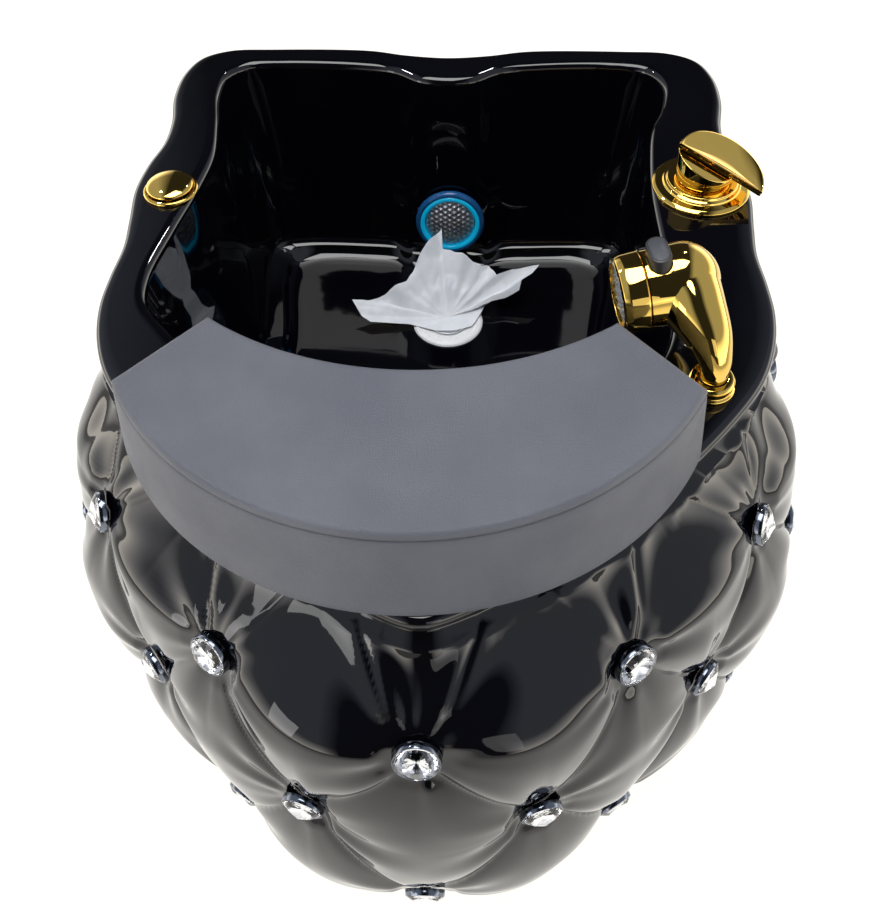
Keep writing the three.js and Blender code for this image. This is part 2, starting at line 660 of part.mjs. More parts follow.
function addAirSwitch() {
  const at = station(AIR_SWITCH, DECK_Z);
  add(at, 'air_switch_bezel', turned([
    [6, -26], [9, -26], [9, GAP], [22, GAP], [22, 2], [18.5, 4], [17.3, 4], [17.3, 1.6], [6, 1.6],
    [6, -26],
  ], 20), gold);
  add(at, 'air_switch_button', turned([
    [0, -20], [5.5, -20], [5.5, 5], [16.8, 5], [16, 6.8], [12, 9], [6, 10.2], [0, 10.5],
  ], 20), gold);
  add(at, 'air_switch_nut', hexNut(9.4, 20, -WALL - 8, -WALL - GAP), brass);
  add(at, 'air_bellows', turned([
    [0, -44], [8, -44], [8, -27], [5.5, -26.4], [5.5, -24], [0, -24],
  ], 14), rubber);
  add(at, 'air_tube', rodAlong(AIR_TUBE, 2.5, 24), whitePlastic);
}

function addJet() {
  const at = new THREE.Group();
  at.applyMatrix4(jetFrame());
  bowl.add(at);
  add(at, 'jet_light_ring', turned([
    [25.8, GAP], [35, GAP], [35, 4], [33, 7], [28, 7.5], [25.8, 6], [25.8, GAP],
  ], 28), ledRing);
  add(at, 'jet_cover', turned([[0, 1], [24.8, 1], [24.8, 4], [20, 7], [10, 9.5], [0, 10.2]], 20), wireMesh);
  add(at, 'jet_housing', turned([
    [21, 0.4], [25, 0.4], [25, -31], [4, -31], [4, -27], [21, -27], [21, 0.4],
  ], 28), blackPlastic);
  add(at, 'jet_lock_nut', hexNut(26, 58, -24, -15), blackPlastic);
  add(at, 'jet_impeller', jetImpeller(), greyPlastic);
  add(at, 'jet_motor', turned([
    [0, -52], [20, -52], [23, -49], [23, -31.5], [3.2, -31.5], [3.2, -45], [0, -45],
  ], 28), blackPlastic);
}

function addDrain() {
  const at = station(DRAIN, FLOOR_Z);
  add(at, 'drain_flange', turned([
    [17, -70], [20.4, -70], [20.4, GAP], [35, GAP], [35, 1.4], [29, 3.4], [21, 1.2], [17, 1.2],
    [17, -70],
  ], 20), steel);
  add(at, 'drain_strainer', turned([
    [0, -3], [14, -3], [16.4, -1], [16.4, 1], [19.5, 2.6], [19.5, 4], [14, 3], [0, 2],
  ], 28), steel);
  add(at, 'drain_gasket', ring(21.5, 33, -WALL - GAP - 3, -WALL - GAP), rubber);
  add(at, 'drain_lock_nut', hexNut(20.8, 60, -WALL - 14, -WALL - GAP - 3.4), whitePlastic);
  add(at, 'drain_tailpipe', ring(20.8, 24, -120, -30, 28), whitePlastic);
}

function addBase() {
  const corners = 48;
  const clearance = WALL + 4;
  const outline = Array.from({ length: corners }, (_, i) => {
    const [x, y] = surfacePoint((i / corners * 2 - 1) * Math.PI, BOARD_Z, -clearance);
    return new THREE.Vector2(x, y);
  });
  const plate = new THREE.Shape(outline);
  const { left, right, front, back } = SERVICE_HOLE;
  plate.holes.push(new THREE.Path([[left, front], [left, back], [right, back], [right, front]]
    .map(([x, y]) => new THREE.Vector2(x, y))));
  const slab = new THREE.ExtrudeGeometry(plate, { depth: BOARD_THICKNESS, bevelEnabled: false });
  add(bowl, 'base_board', weld(slab.translate(0, 0, BOARD_Z)), board);
  FOOT_PLACES.forEach(([x, y], i) => {
    add(bowl, `foot_${i + 1}`, disc(20, 0, BOARD_Z - GAP, 20), rubber, [x, y, 0]);
  });
  const { x: boxX, y: boxY, width, depth, height } = CONTROL_BOX;
  const boxZ = BOARD_Z + BOARD_THICKNESS + GAP + height / 2;
  const box = weld(new THREE.BoxGeometry(width, depth, height));
  add(bowl, 'control_box', box, blackPlastic, [boxX, boxY, boxZ]);
}

addMouldings();
addCrystals();
addMixer();
addSpray();
addAirSwitch();
addJet();
addDrain();
addBase();

export default unit;
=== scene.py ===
import json
import math

import bmesh
import bpy
import numpy as np
from mathutils import Matrix, Vector, noise


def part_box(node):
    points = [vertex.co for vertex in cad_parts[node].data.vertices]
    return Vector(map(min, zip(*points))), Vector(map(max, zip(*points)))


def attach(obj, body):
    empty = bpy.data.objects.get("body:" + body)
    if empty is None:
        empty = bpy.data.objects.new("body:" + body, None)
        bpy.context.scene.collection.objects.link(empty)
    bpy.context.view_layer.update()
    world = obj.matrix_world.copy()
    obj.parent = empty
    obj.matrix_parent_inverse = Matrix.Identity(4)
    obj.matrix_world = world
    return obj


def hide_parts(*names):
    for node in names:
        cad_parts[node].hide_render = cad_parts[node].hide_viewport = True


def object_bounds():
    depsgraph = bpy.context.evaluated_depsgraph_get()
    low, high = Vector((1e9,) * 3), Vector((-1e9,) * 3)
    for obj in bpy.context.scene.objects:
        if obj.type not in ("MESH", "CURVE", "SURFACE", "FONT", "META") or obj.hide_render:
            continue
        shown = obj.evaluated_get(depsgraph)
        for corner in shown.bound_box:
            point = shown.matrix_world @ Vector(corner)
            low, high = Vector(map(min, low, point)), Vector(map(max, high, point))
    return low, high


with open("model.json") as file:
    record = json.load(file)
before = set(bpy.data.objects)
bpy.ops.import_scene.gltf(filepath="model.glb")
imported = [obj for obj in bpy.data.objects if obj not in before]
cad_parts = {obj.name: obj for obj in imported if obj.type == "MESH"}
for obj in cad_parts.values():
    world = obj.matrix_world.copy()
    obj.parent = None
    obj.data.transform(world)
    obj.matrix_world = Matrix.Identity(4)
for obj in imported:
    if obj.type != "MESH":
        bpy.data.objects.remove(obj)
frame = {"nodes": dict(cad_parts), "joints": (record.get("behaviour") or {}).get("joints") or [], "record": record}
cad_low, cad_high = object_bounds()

MM = 0.001


# ---------------------------------------------------------------- places, from the frame
def middle(node):
    low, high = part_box(node)
    return (low + high) / 2 / MM


def joint(name):
    return next(j for j in frame["joints"] if j["name"] == name)


GAP = 0.3                      # clearance that the frame keeps between pieces
LIP_HEIGHT = 9
LIP_THICKNESS = 4
WALL = 5
SHOULDER_HEIGHT = 14           # step round the basin floor
DRAIN_HOLE = 21                # radii of the openings through the moulding
JET_SEAT, JET_HOLE = 36.2, 25.6
MIXER_HOLE, SPRAY_HOLE, SWITCH_HOLE = 16, 12.6, 9.6
JET_BEHIND_RIM_CENTRE = 227.6
DECK_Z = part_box("rest_pad")[0].z / MM - GAP
FLOOR_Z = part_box("basin_deck")[0].z / MM + WALL
SHOULDER_Z = FLOOR_Z + SHOULDER_HEIGHT
DRAIN = middle("drain_flange").xy.to_3d()
MIXER = middle("mixer_escutcheon").xy.to_3d()
SPRAY = middle("spray_collar").xy.to_3d()
AIR_SWITCH = middle("air_switch_bezel").xy.to_3d()
JET = Vector(joint("jet_spin")["pos_m"]) / MM
JET_AIM = Vector(joint("jet_spin")["axis"])
RIM_CENTRE_Y = JET.y - JET_BEHIND_RIM_CENTRE

# Outlines round the middle of the rim. Half of the rim, right side, from the back to the front.
RIM_HALF = [
    (0, 289), (38, 293), (75, 301), (165, 302), (208, 299), (233, 285), (245, 258), (247, 222),
    (241, 182), (241, 150), (248, 118), (251, 86), (247, 48), (244, 16), (246, -18), (246, -48),
    (240, -80), (226, -114), (200, -150), (160, -194), (112, -240), (72, -266), (34, -289), (0, -301),
]
RIM = RIM_HALF + [(-x, y) for x, y in reversed(RIM_HALF[1:-1])]
# The opening, clockwise from the middle of the back. The right deck is the wider one.
OPENING = [
    (0, 247), (26, 251), (50, 266), (80, 272), (150, 275), (184, 268), (196, 246), (192, 210),
    (179, 175), (173, 135), (170, 90), (171, 30), (172, -30), (166, -76), (146, -112), (98, -154),
    (48, -178), (0, -185), (-52, -178), (-106, -152), (-152, -112), (-188, -74), (-210, -46),
    (-215, -16), (-207, 40), (-197, 95), (-193, 135), (-198, 180), (-205, 225), (-202, 256),
    (-186, 271), (-150, 275), (-80, 272), (-50, 266), (-26, 251),
]
SHOULDER = [
    (0, 226), (36, 227), (52, 235), (80, 238), (150, 238), (178, 228), (184, 200), (168, 100),
    (160, 20), (156, -40), (136, -92), (92, -124), (0, -140), (-96, -124), (-144, -92), (-170, -40),
    (-176, 20), (-178, 100), (-186, 200), (-180, 228), (-150, 238), (-80, 238), (-52, 235), (-36, 227),
]
BASIN_FLOOR = [
    (0, 222), (36, 223), (52, 230), (80, 233), (140, 232), (162, 218), (164, 190), (148, 100),
    (142, 20), (136, -36), (112, -80), (66, -106), (0, -116), (-70, -106), (-118, -80), (-144, -36),
    (-150, 20), (-152, 100), (-164, 190), (-162, 218), (-140, 232), (-80, 233), (-52, 230), (-36, 223),
]

# The shell is laid out by angle round this point, from the front.
SHELL_CENTRE_Y = -96
SHELL_FOOT_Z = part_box("tufted_shell")[0].z / MM
SHELL_TOP_Z = DECK_Z - LIP_HEIGHT - GAP
SHELL_TOP_INSET = 5.5
SHELL_TAPER = 0.1
TUFT_STEP = 2 * math.pi / 10.5
TUFT_DEPTH = 16
PUFF_SHARE = 0.68                # share of a pillow that sinks along seams; the rest only at buttons
TOP_PUFF = 0.75                  # share of the tufting that is kept where the belly meets the rim's outline
TOP_PUFF_Z = 400                 # and the height up to which it is kept
TOP_BLEND = (352, 408)
TUFT_TOP = (395, 420)
TUFT_FOOT = (5, 50)
TUFT_FADE = (2.0, 2.5)
# Height, half width, reach to the front and reach to the back of the button line.
SHELL_ROWS = [
    (SHELL_FOOT_Z, 172, 186, 330), (60, 236, 244, 376), (139, 277, 279, 393),
    (255, 280, 272, 394), (350, 252, 254, 394), (DECK_Z, 240, 215, 392),
]
# Height and number of each row of buttons; every second row is half a step round.
BUTTON_ROWS = [(-90, 2), (20, 1.5), (139, 1), (255, 0.5), (350, 0), (430, -0.5)]
# Height and steps round the shell of each row of buttons.
BUTTONS = {
    "upper": (350, [-2, -1, 0, 1, 2], [-3, 3]),
    "middle": (255, [-2.5, -1.5, -0.5, 0.5, 1.5, 2.5], [-3.5, 3.5]),
    "lower": (139, [0], [-3, -2, -1, 1, 2, 3]),
}
BUTTON_STANDOFF = 2
BUTTON_NOD = {"upper": 16, "middle": 8, "lower": 0}     # degrees that a button leans down in its pocket
SEAM_WIDTH = 0.035               # share of a diamond that the bottom of a seam takes
PLEAT_DEPTH = 0.9
PLEAT_REACH = 105
RIDGE_LEAN = 30                  # degrees from upright, of the pair of ridges above each upper button
RIDGE_WIDTH = 10
RIDGE_HEIGHT = 3.4
RIDGE_START = (12, 34)           # distances from the button over which a ridge rises
RIDGE_END = (60, 110)            # and over which it runs out
RIDGE_TOP_Z = 398


# ---------------------------------------------------------------- mesh helpers
def piece_from(name, shape, place, body, material, replaces=(), sharp=40):
    """A piece from a shape, smooth but for edges sharper than the given angle."""
    return dress(loose(name, shape, place), body, material, replaces, sharp)


def dress(piece, body, material, replaces=(), sharp=40):
    tidy_mesh(piece.data, sharp)
    piece.data.materials.clear()
    piece.data.materials.append(material)
    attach(piece, body)
    if replaces:
        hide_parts(*replaces)
    return piece


def tidy_mesh(mesh, sharp):
    work = bmesh.new()
    work.from_mesh(mesh)
    bmesh.ops.remove_doubles(work, verts=work.verts, dist=1e-6)
    bmesh.ops.recalc_face_normals(work, faces=work.faces)
    limit = math.radians(sharp)
    for face in work.faces:
        face.smooth = True
    for edge in work.edges:
        edge.smooth = len(edge.link_faces) == 2 and edge.calc_face_angle(0) < limit
    work.to_mesh(mesh)
    work.free()
    mesh.update()


def grid_faces(rows, columns, wrap_rows=False, wrap_columns=True):
    """Quads over a grid of vertices that is stored row by row."""
    i = np.arange(rows if wrap_rows else rows - 1)[:, None]
    j = np.arange(columns if wrap_columns else columns - 1)[None, :]
    up, along = (i + 1) % rows, (j + 1) % columns
    quads = [i * columns + j, i * columns + along, up * columns + along, up * columns + j]
    return np.stack([np.broadcast_to(q, (i.size, j.size)) for q in quads], -1).reshape(-1, 4)


def loft(rings, cap_start=True, cap_end=True, wrap=False):
    """Vertices and faces of a skin over rings of equal length."""
    rings = np.asarray(rings, float)
    rows, columns = rings.shape[:2]
    faces = grid_faces(rows, columns, wrap_rows=wrap).tolist()
    if not wrap and cap_start:
        faces.append(list(range(columns))[::-1])
    if not wrap and cap_end:
        faces.append([(rows - 1) * columns + j for j in range(columns)])
    return rings.reshape(-1, 3), faces


def circle(radius, z, turn):
    """Points round the Z axis at a height, one for each angle of turn."""
    return np.stack([radius * np.cos(turn), radius * np.sin(turn), z + 0 * turn], 1)


def lathe(profile, segments=64):
    """A closed turned body from (radius, height) points that start and end on the axis or meet."""
    on_axis = profile[0][0] == 0
    body = profile[1:-1] if on_axis else profile[:-1]
    turn = np.linspace(0, 2 * math.pi, segments, endpoint=False)
    rings = [circle(r, z, turn) for r, z in body]
    vertices, faces = loft(rings, cap_start=False, cap_end=False, wrap=not on_axis)
    if not on_axis:
        return vertices, faces
    first, last = len(vertices), len(vertices) + 1
    vertices = np.vstack([vertices, [0, 0, profile[0][1]], [0, 0, profile[-1][1]]])
    end = (len(body) - 1) * segments
    for j in range(segments):
        k = (j + 1) % segments
        faces.append([first, k, j])
        faces.append([last, end + j, end + k])
    return vertices, faces


def placed(vertices, matrix):
    """Vertices moved by a matrix whose own unit is the millimetre."""
    turned = np.asarray(matrix.to_3x3(), float)
    return np.asarray(vertices, float) @ turned.T + np.asarray(matrix.translation, float)


def rounded(corners, radius, steps=5):
    """A profile with each of its inner corners rounded by a small arc."""
    made = [corners[0]]
    for before, corner, after in zip(corners, corners[1:], corners[2:]):
        corner = Vector(corner)
        back, on = Vector(before) - corner, Vector(after) - corner
        reach = min(radius, back.length * 0.45, on.length * 0.45)
        start, end = corner + back.normalized() * reach, corner + on.normalized() * reach
        for k in range(steps + 1):
            t = k / steps
            made.append(tuple((1 - t) ** 2 * start + 2 * t * (1 - t) * corner + t ** 2 * end))
    return made + [corners[-1]]


def smoothstep(low, high, value):
    t = np.clip((value - low) / (high - low), 0, 1)
    return t * t * (3 - 2 * t)


def frame_at(origin, x, z):
    """A matrix in millimetres from its origin, its local X and its local Z."""
    z = Vector(z).normalized()
    x = (Vector(x) - Vector(x).dot(z) * z).normalized()
    y = z.cross(x)
    return Matrix.Translation(Vector(origin)) @ Matrix((x, y, z)).transposed().to_4x4()


def modified(piece, kind, **settings):
    """Applies one modifier to a piece."""
    modifier = piece.modifiers.new(kind.title(), kind)
    for key, value in settings.items():
        setattr(modifier, key, value)
    graph = bpy.context.evaluated_depsgraph_get()
    mesh = bpy.data.meshes.new_from_object(piece.evaluated_get(graph))
    piece.modifiers.clear()
    old, piece.data = piece.data, mesh
    bpy.data.meshes.remove(old)
    return piece


def loose(name, shape, place=Matrix()):
    """A mesh object from millimetre vertices and faces: a cutter, or the start of a piece."""
    vertices, faces = shape
    mesh = bpy.data.meshes.new(name)
    mesh.from_pydata(placed(vertices, place) * MM, [], faces)
    work = bmesh.new()
    work.from_mesh(mesh)
    bmesh.ops.recalc_face_normals(work, faces=work.faces)
    work.to_mesh(mesh)
    work.free()
    made = bpy.data.objects.new(name, mesh)
    bpy.context.scene.collection.objects.link(made)
    return made


def cut(piece, *cutters):
    for cutter in cutters:
        modified(piece, "BOOLEAN", operation="DIFFERENCE", solver="EXACT", object=cutter)
        bpy.data.objects.remove(cutter)
    return piece


def rod(radius, low, high, segments=48):
    return lathe([(0, low), (radius, low), (radius, high), (0, high)], segments)


# ---------------------------------------------------------------- materials
def nodes_of(material):
    return material.node_tree.nodes, material.node_tree.links


def principled(name, color, roughness, metallic=0.0, **sockets):
    material = bpy.data.materials.new(name)
    material.use_nodes = True
    shader = material.node_tree.nodes["Principled BSDF"]
    shader.inputs["Base Color"].default_value = (*color, 1)
    shader.inputs["Roughness"].default_value = roughness
    shader.inputs["Metallic"].default_value = metallic
    for key, value in sockets.items():
        shader.inputs[key.replace("_", " ")].default_value = value
    return material


def noise_node(material, scale, detail=3.0, kind="ShaderNodeTexNoise"):
    nodes, links = nodes_of(material)
    place = nodes.new("ShaderNodeTexCoord")
    texture = nodes.new(kind)
    texture.inputs["Scale"].default_value = scale
    if "Detail" in texture.inputs:
        texture.inputs["Detail"].default_value = detail
    links.new(place.outputs["Object"], texture.inputs["Vector"])
    return texture.outputs["Distance" if kind.endswith("Voronoi") else "Fac"]


def add_bump(material, height, strength, distance):
    nodes, links = nodes_of(material)
    bump = nodes.new("ShaderNodeBump")
    bump.inputs["Strength"].default_value = strength
    bump.inputs["Distance"].default_value = distance
    links.new(height, bump.inputs["Height"])
    shader = nodes["Principled BSDF"]
    if shader.inputs["Normal"].is_linked:
        links.new(shader.inputs["Normal"].links[0].from_socket, bump.inputs["Normal"])
    links.new(bump.outputs["Normal"], shader.inputs["Normal"])


def vary(material, socket, value, low, high):
    """Runs a socket between two values, or two colours, by a texture."""
    nodes, links = nodes_of(material)
    ramp = nodes.new("ShaderNodeValToRGB")
    ends = ramp.color_ramp.elements
    for end, shade in zip(ends, (low, high)):
        end.color = (*shade, 1) if isinstance(shade, tuple) else (shade, shade, shade, 1)
    ends[0].position, ends[1].position = 0.35, 0.65
    links.new(value, ramp.inputs["Fac"])
    links.new(ramp.outputs["Color"], nodes["Principled BSDF"].inputs[socket])


def make_gelcoat():
    made = principled("gelcoat", (0.0015, 0.0015, 0.003), 0.035, IOR=1.55)
    add_bump(made, noise_node(made, 26, 2), 0.05, 0.002)
    vary(made, "Roughness", noise_node(made, 9, 5), 0.025, 0.055)
    vary(made, "Base Color", noise_node(made, 5, 3), (0.001, 0.001, 0.0025), (0.002, 0.002, 0.0035))
    return made


def make_leather():
    made = principled("pad_leather", (0.1, 0.107, 0.13), 0.5)
    vary(made, "Base Color", noise_node(made, 14, 8), (0.088, 0.094, 0.118), (0.112, 0.119, 0.142))
    vary(made, "Roughness", noise_node(made, 30, 6), 0.42, 0.55)
    add_bump(made, noise_node(made, 1100, 2, "ShaderNodeTexVoronoi"), 0.35, 0.0006)
    add_bump(made, noise_node(made, 420, 6), 0.3, 0.0005)
    return made


def make_metal(name, color, low, high, waves=0.04):
    made = principled(name, color, low, 1.0)
    vary(made, "Roughness", noise_node(made, 60, 6), low, high)
    add_bump(made, noise_node(made, 40, 2), waves, 0.001)
    return made


def make_plastic(name, color, roughness, grain=0.1, **sockets):
    made = principled(name, color, roughness, **sockets)
    vary(made, "Roughness", noise_node(made, 120, 4), roughness * 0.85, roughness * 1.15)
    add_bump(made, noise_node(made, 900, 3), grain, 0.0003)
    return made


def make_board():
    made = principled("board", (0.06, 0.05, 0.045), 0.6)
    nodes, links = nodes_of(made)
    place, wave = nodes.new("ShaderNodeTexCoord"), nodes.new("ShaderNodeTexWave")
    wave.inputs["Scale"].default_value = 14
    wave.inputs["Distortion"].default_value = 6
    links.new(place.outputs["Object"], wave.inputs["Vector"])
    vary(made, "Base Color", wave.outputs["Fac"], (0.045, 0.038, 0.034), (0.085, 0.07, 0.06))
    add_bump(made, wave.outputs["Fac"], 0.15, 0.0006)
    return made


def make_paper():
    made = principled("paper", (0.86, 0.87, 0.9), 0.55, Subsurface_Weight=0.15)
    vary(made, "Base Color", noise_node(made, 60, 6), (0.8, 0.81, 0.85), (0.9, 0.91, 0.93))
    add_bump(made, noise_node(made, 240, 5), 0.3, 0.0006)
    return made


GELCOAT = make_gelcoat()
LEATHER = make_leather()
GOLD = make_metal("gold", (0.83, 0.56, 0.13), 0.035, 0.07)
BRASS = make_metal("brass", (0.6, 0.45, 0.22), 0.25, 0.4, 0.1)
STEEL = make_metal("steel", (0.72, 0.73, 0.75), 0.14, 0.26)
FOIL = make_metal("foil", (0.6, 0.62, 0.66), 0.03, 0.06, 0.0)
SETTING = make_metal("setting", (0.16, 0.18, 0.22), 0.1, 0.2)
MESH_METAL = make_metal("mesh_metal", (0.62, 0.63, 0.66), 0.35, 0.5, 0.1)
STONE = principled("stone", (0.93, 0.94, 0.96), 0.0, IOR=1.55, Transmission_Weight=1.0)
BLUE_RING = make_plastic("blue_ring", (0.012, 0.09, 0.26), 0.15, 0.02)
CYAN_RING = make_plastic("cyan_ring", (0.01, 0.35, 0.6), 0.2, 0.02, Emission_Color=(0.0, 0.3, 0.5, 1),
                         Emission_Strength=0.5)
BLACK_PLASTIC = make_plastic("black_plastic", (0.02, 0.02, 0.023), 0.42)
SLATE_PLASTIC = make_plastic("slate_plastic", (0.05, 0.055, 0.065), 0.4)
GREY_PLASTIC = make_plastic("grey_plastic", (0.3, 0.31, 0.33), 0.45)
WHITE_PLASTIC = make_plastic("white_plastic", (0.8, 0.81, 0.82), 0.3)
RUBBER = make_plastic("rubber", (0.02, 0.02, 0.02), 0.7, 0.3)
BOARD = make_board()
PAPER = make_paper()


# ---------------------------------------------------------------- outlines
def closed_curve(points, samples=2880):
    """A closed centripetal Catmull-Rom curve: points and unit tangents."""
    points = np.asarray(points, float)
    count = len(points)
    place = np.arange(samples) / samples * count
    i = place.astype(int)
    t = (place - i)[:, None]
    p = [points[(i + k) % count] for k in (-1, 0, 1, 2)]
    steps = [np.sqrt(np.linalg.norm(b - a, axis=1))[:, None] for a, b in zip(p, p[1:])]
    leave = (p[1] - p[0]) / steps[0] - (p[2] - p[0]) / (steps[0] + steps[1]) + (p[2] - p[1]) / steps[1]
    arrive = (p[2] - p[1]) / steps[1] - (p[3] - p[1]) / (steps[1] + steps[2]) + (p[3] - p[2]) / steps[2]
    leave, arrive = leave * steps[1], arrive * steps[1]
    curve = (p[1] * (2 * t ** 3 - 3 * t ** 2 + 1) + leave * (t ** 3 - 2 * t ** 2 + t)
             + p[2] * (3 * t ** 2 - 2 * t ** 3) + arrive * (t ** 3 - t ** 2))
    along = np.roll(curve, -1, 0) - np.roll(curve, 1, 0)
    return curve, along / np.linalg.norm(along, axis=1)[:, None]


def polar_radius(outline, centre, angles, inset=0.0):
    """Distance from a centre to a clockwise outline, moved inwards by inset, at each angle."""
    curve, along = closed_curve(outline)
    moved = curve + inset * np.stack([along[:, 1], -along[:, 0]], 1) - np.asarray(centre)
    angle = np.arctan2(moved[:, 1], moved[:, 0])
    order = np.argsort(angle)
    radius = np.hypot(moved[:, 0], moved[:, 1])
    return np.interp(angles, angle[order], radius[order], period=2 * math.pi)


# ---------------------------------------------------------------- basin and deck
def basin_deck():
    centre = np.array([DRAIN.x, DRAIN.y - RIM_CENTRE_Y])
    curve, _ = closed_curve(RIM)
    length = np.concatenate([[0], np.cumsum(np.linalg.norm(np.diff(curve, axis=0), axis=1))])
    columns = 840
    even = np.interp(np.arange(columns) / columns * length[-1], length, np.arange(len(curve)))
    picked = curve[even.astype(int)] - centre
    angles = np.arctan2(picked[:, 1], picked[:, 0])

    def ring(outline, inset, z):
        radius = polar_radius(outline, centre, angles, inset)
        return np.stack([centre[0] + radius * np.cos(angles),
                         centre[1] + radius * np.sin(angles) + RIM_CENTRE_Y, np.full(columns, z)], 1)

    def between(start, end, shares):
        return [start + (end - start) * share for share in shares]

    hole = circle(DRAIN_HOLE, FLOOR_Z, angles) + (DRAIN.x, DRAIN.y, 0)
    lip, roll = 6.0, 7.0
    quarter = np.radians(np.arange(0, 91, 15))
    rings = [ring(RIM, LIP_THICKNESS, DECK_Z - LIP_HEIGHT), ring(RIM, 1.4, DECK_Z - LIP_HEIGHT),
             ring(RIM, 0.3, DECK_Z - LIP_HEIGHT + 0.6), ring(RIM, 0, DECK_Z - LIP_HEIGHT + 1.6)]
    rings += [ring(RIM, lip * (1 - math.cos(a)), DECK_Z - lip + lip * math.sin(a)) for a in quarter]
    rings += between(rings[-1], ring(OPENING, -roll, DECK_Z), (0.15, 0.35, 0.55, 0.75, 0.9))
    rings += [ring(OPENING, roll * (math.sin(a) - 1), DECK_Z - roll * (1 - math.cos(a))) for a in quarter]
    wall_foot = ring(SHOULDER, -2, SHOULDER_Z + 12)
    rings += between(rings[-1], wall_foot, (0.08, 0.2, 0.35, 0.5, 0.65, 0.8, 0.92))
    rings += [wall_foot, ring(SHOULDER, -0.5, SHOULDER_Z + 6), ring(SHOULDER, 2, SHOULDER_Z + 2),
              ring(SHOULDER, 6, SHOULDER_Z)]
    rings += [ring(BASIN_FLOOR, -6, SHOULDER_Z - 2), ring(BASIN_FLOOR, -2, SHOULDER_Z - 6),
              ring(BASIN_FLOOR, 1, FLOOR_Z + 4), ring(BASIN_FLOOR, 6, FLOOR_Z + 1.2),
              ring(BASIN_FLOOR, 14, FLOOR_Z + 0.5)]
    rings += between(rings[-1], hole, (0.3, 0.6, 0.85))
    rings += [hole, hole - (0, 0, WALL), ring(BASIN_FLOOR, -3, FLOOR_Z - WALL),
              ring(SHOULDER, -WALL, SHOULDER_Z - 3), ring(OPENING, -WALL, DECK_Z - 11),
              ring(OPENING, -WALL - 4, DECK_Z - WALL), ring(RIM, LIP_THICKNESS, DECK_Z - WALL)]
    deck = loose("deck", loft(rings, wrap=True))
    jet = frame_at(JET, (1, 0, 0), JET_AIM)
    holes = [(rod(JET_SEAT, 0, 16, 96), jet), (rod(JET_HOLE, -24, 20), jet)]
    for place, radius in ((MIXER, MIXER_HOLE), (SPRAY, SPRAY_HOLE), (AIR_SWITCH, SWITCH_HOLE)):
        holes.append((rod(radius, DECK_Z - 14, DECK_Z + 5), Matrix.Translation(place)))
    cut(deck, *[loose("hole", shape, at) for shape, at in holes])
    deck.name = "deck_moulding"
    dress(deck, "root", GELCOAT, ["basin_deck"], 34)


# ---------------------------------------------------------------- tufted shell
def at_height(table, z, column):
    """A value from a table of heights, smoothed between its rows."""
    rows = np.array(table, float)
    heights, values = rows[:, 0], rows[:, column]
    slopes = np.array([
        (values[min(k + 1, len(rows) - 1)] - values[max(k - 1, 0)])
        / (heights[min(k + 1, len(rows) - 1)] - heights[max(k - 1, 0)]) for k in range(len(rows))])
    z = np.asarray(z, float)
    i = np.clip(np.searchsorted(heights, z), 1, len(rows) - 1)
    span = heights[i] - heights[i - 1]
    t = np.clip((z - heights[i - 1]) / span, 0, 1)
    return (values[i - 1] * (2 * t ** 3 - 3 * t ** 2 + 1) + values[i] * (3 * t ** 2 - 2 * t ** 3)
            + slopes[i - 1] * span * (t ** 3 - 2 * t ** 2 + t) + slopes[i] * span * (t ** 3 - t ** 2))


def pillow(angle, z):
    """Height of the pillows: 0 at a button, 1 in the middle of a diamond, sharp along the seams."""
    across = angle / TUFT_STEP
    row = at_height(BUTTON_ROWS, z, 1)
    rising = np.sqrt(np.sin(math.pi * (across + row)) ** 2 + SEAM_WIDTH ** 2) - SEAM_WIDTH
    falling = np.sqrt(np.sin(math.pi * (across - row)) ** 2 + SEAM_WIDTH ** 2) - SEAM_WIDTH
    return PUFF_SHARE * (rising * falling) ** 0.5 + (1 - PUFF_SHARE) * np.maximum(rising, falling)


def shell_surface(angle, z, rise, upper_rise=0.0):
    """Points of the shell at an angle from the front and a height, raised from the button line."""
    side = at_height(SHELL_ROWS, z, 1)
    front = np.cos(angle) > 0
    reach = np.where(front, at_height(SHELL_ROWS, z, 2), at_height(SHELL_ROWS, z, 3))
    squareness = np.where(front, 2.0, 8.0)
    u, v = np.abs(np.sin(angle)) / side, np.abs(np.cos(angle)) / reach
    taper = np.where(front, 1 - SHELL_TAPER * np.sin(2 * angle) ** 2, 1.0)
    line = taper * (u ** squareness + v ** squareness) ** (-1 / squareness)
    top = polar_radius(RIM, (0, SHELL_CENTRE_Y), angle - math.pi / 2, SHELL_TOP_INSET)
    belly = line + np.maximum(rise, 0)
    blend = smoothstep(*TOP_BLEND, z)
    radius = belly + (top - belly) * blend + np.minimum(rise, 0) + upper_rise * np.maximum(rise, 0) * blend
    return np.stack([radius * np.sin(angle),
                     SHELL_CENTRE_Y + RIM_CENTRE_Y - radius * np.cos(angle), z + 0 * angle], -1)


def button_seats():
    """Every button's name, CAD node or None, and frame with local +Z outwards."""
    seats = []
    for row, (z, steps, extra) in BUTTONS.items():
        for k, step in enumerate(steps + extra):
            angle = np.array(step * TUFT_STEP)
            low, seat, high = [Vector(shell_surface(angle, np.array(z + d), 0.0)) for d in (-30.0, 0.0, 30.0)]
            rise = (high - low).normalized()
            along = Vector((math.cos(angle), math.sin(angle), 0))
            outward = along.cross(rise).normalized()
            name = f"crystal_{row}_{k + 1}"
            place = frame_at(seat + outward * BUTTON_STANDOFF, rise.cross(outward), outward)
            place @= Matrix.Rotation(math.radians(BUTTON_NOD[row]), 4, "X")
            seats.append((name, name if k < len(steps) else None, place))
    return seats


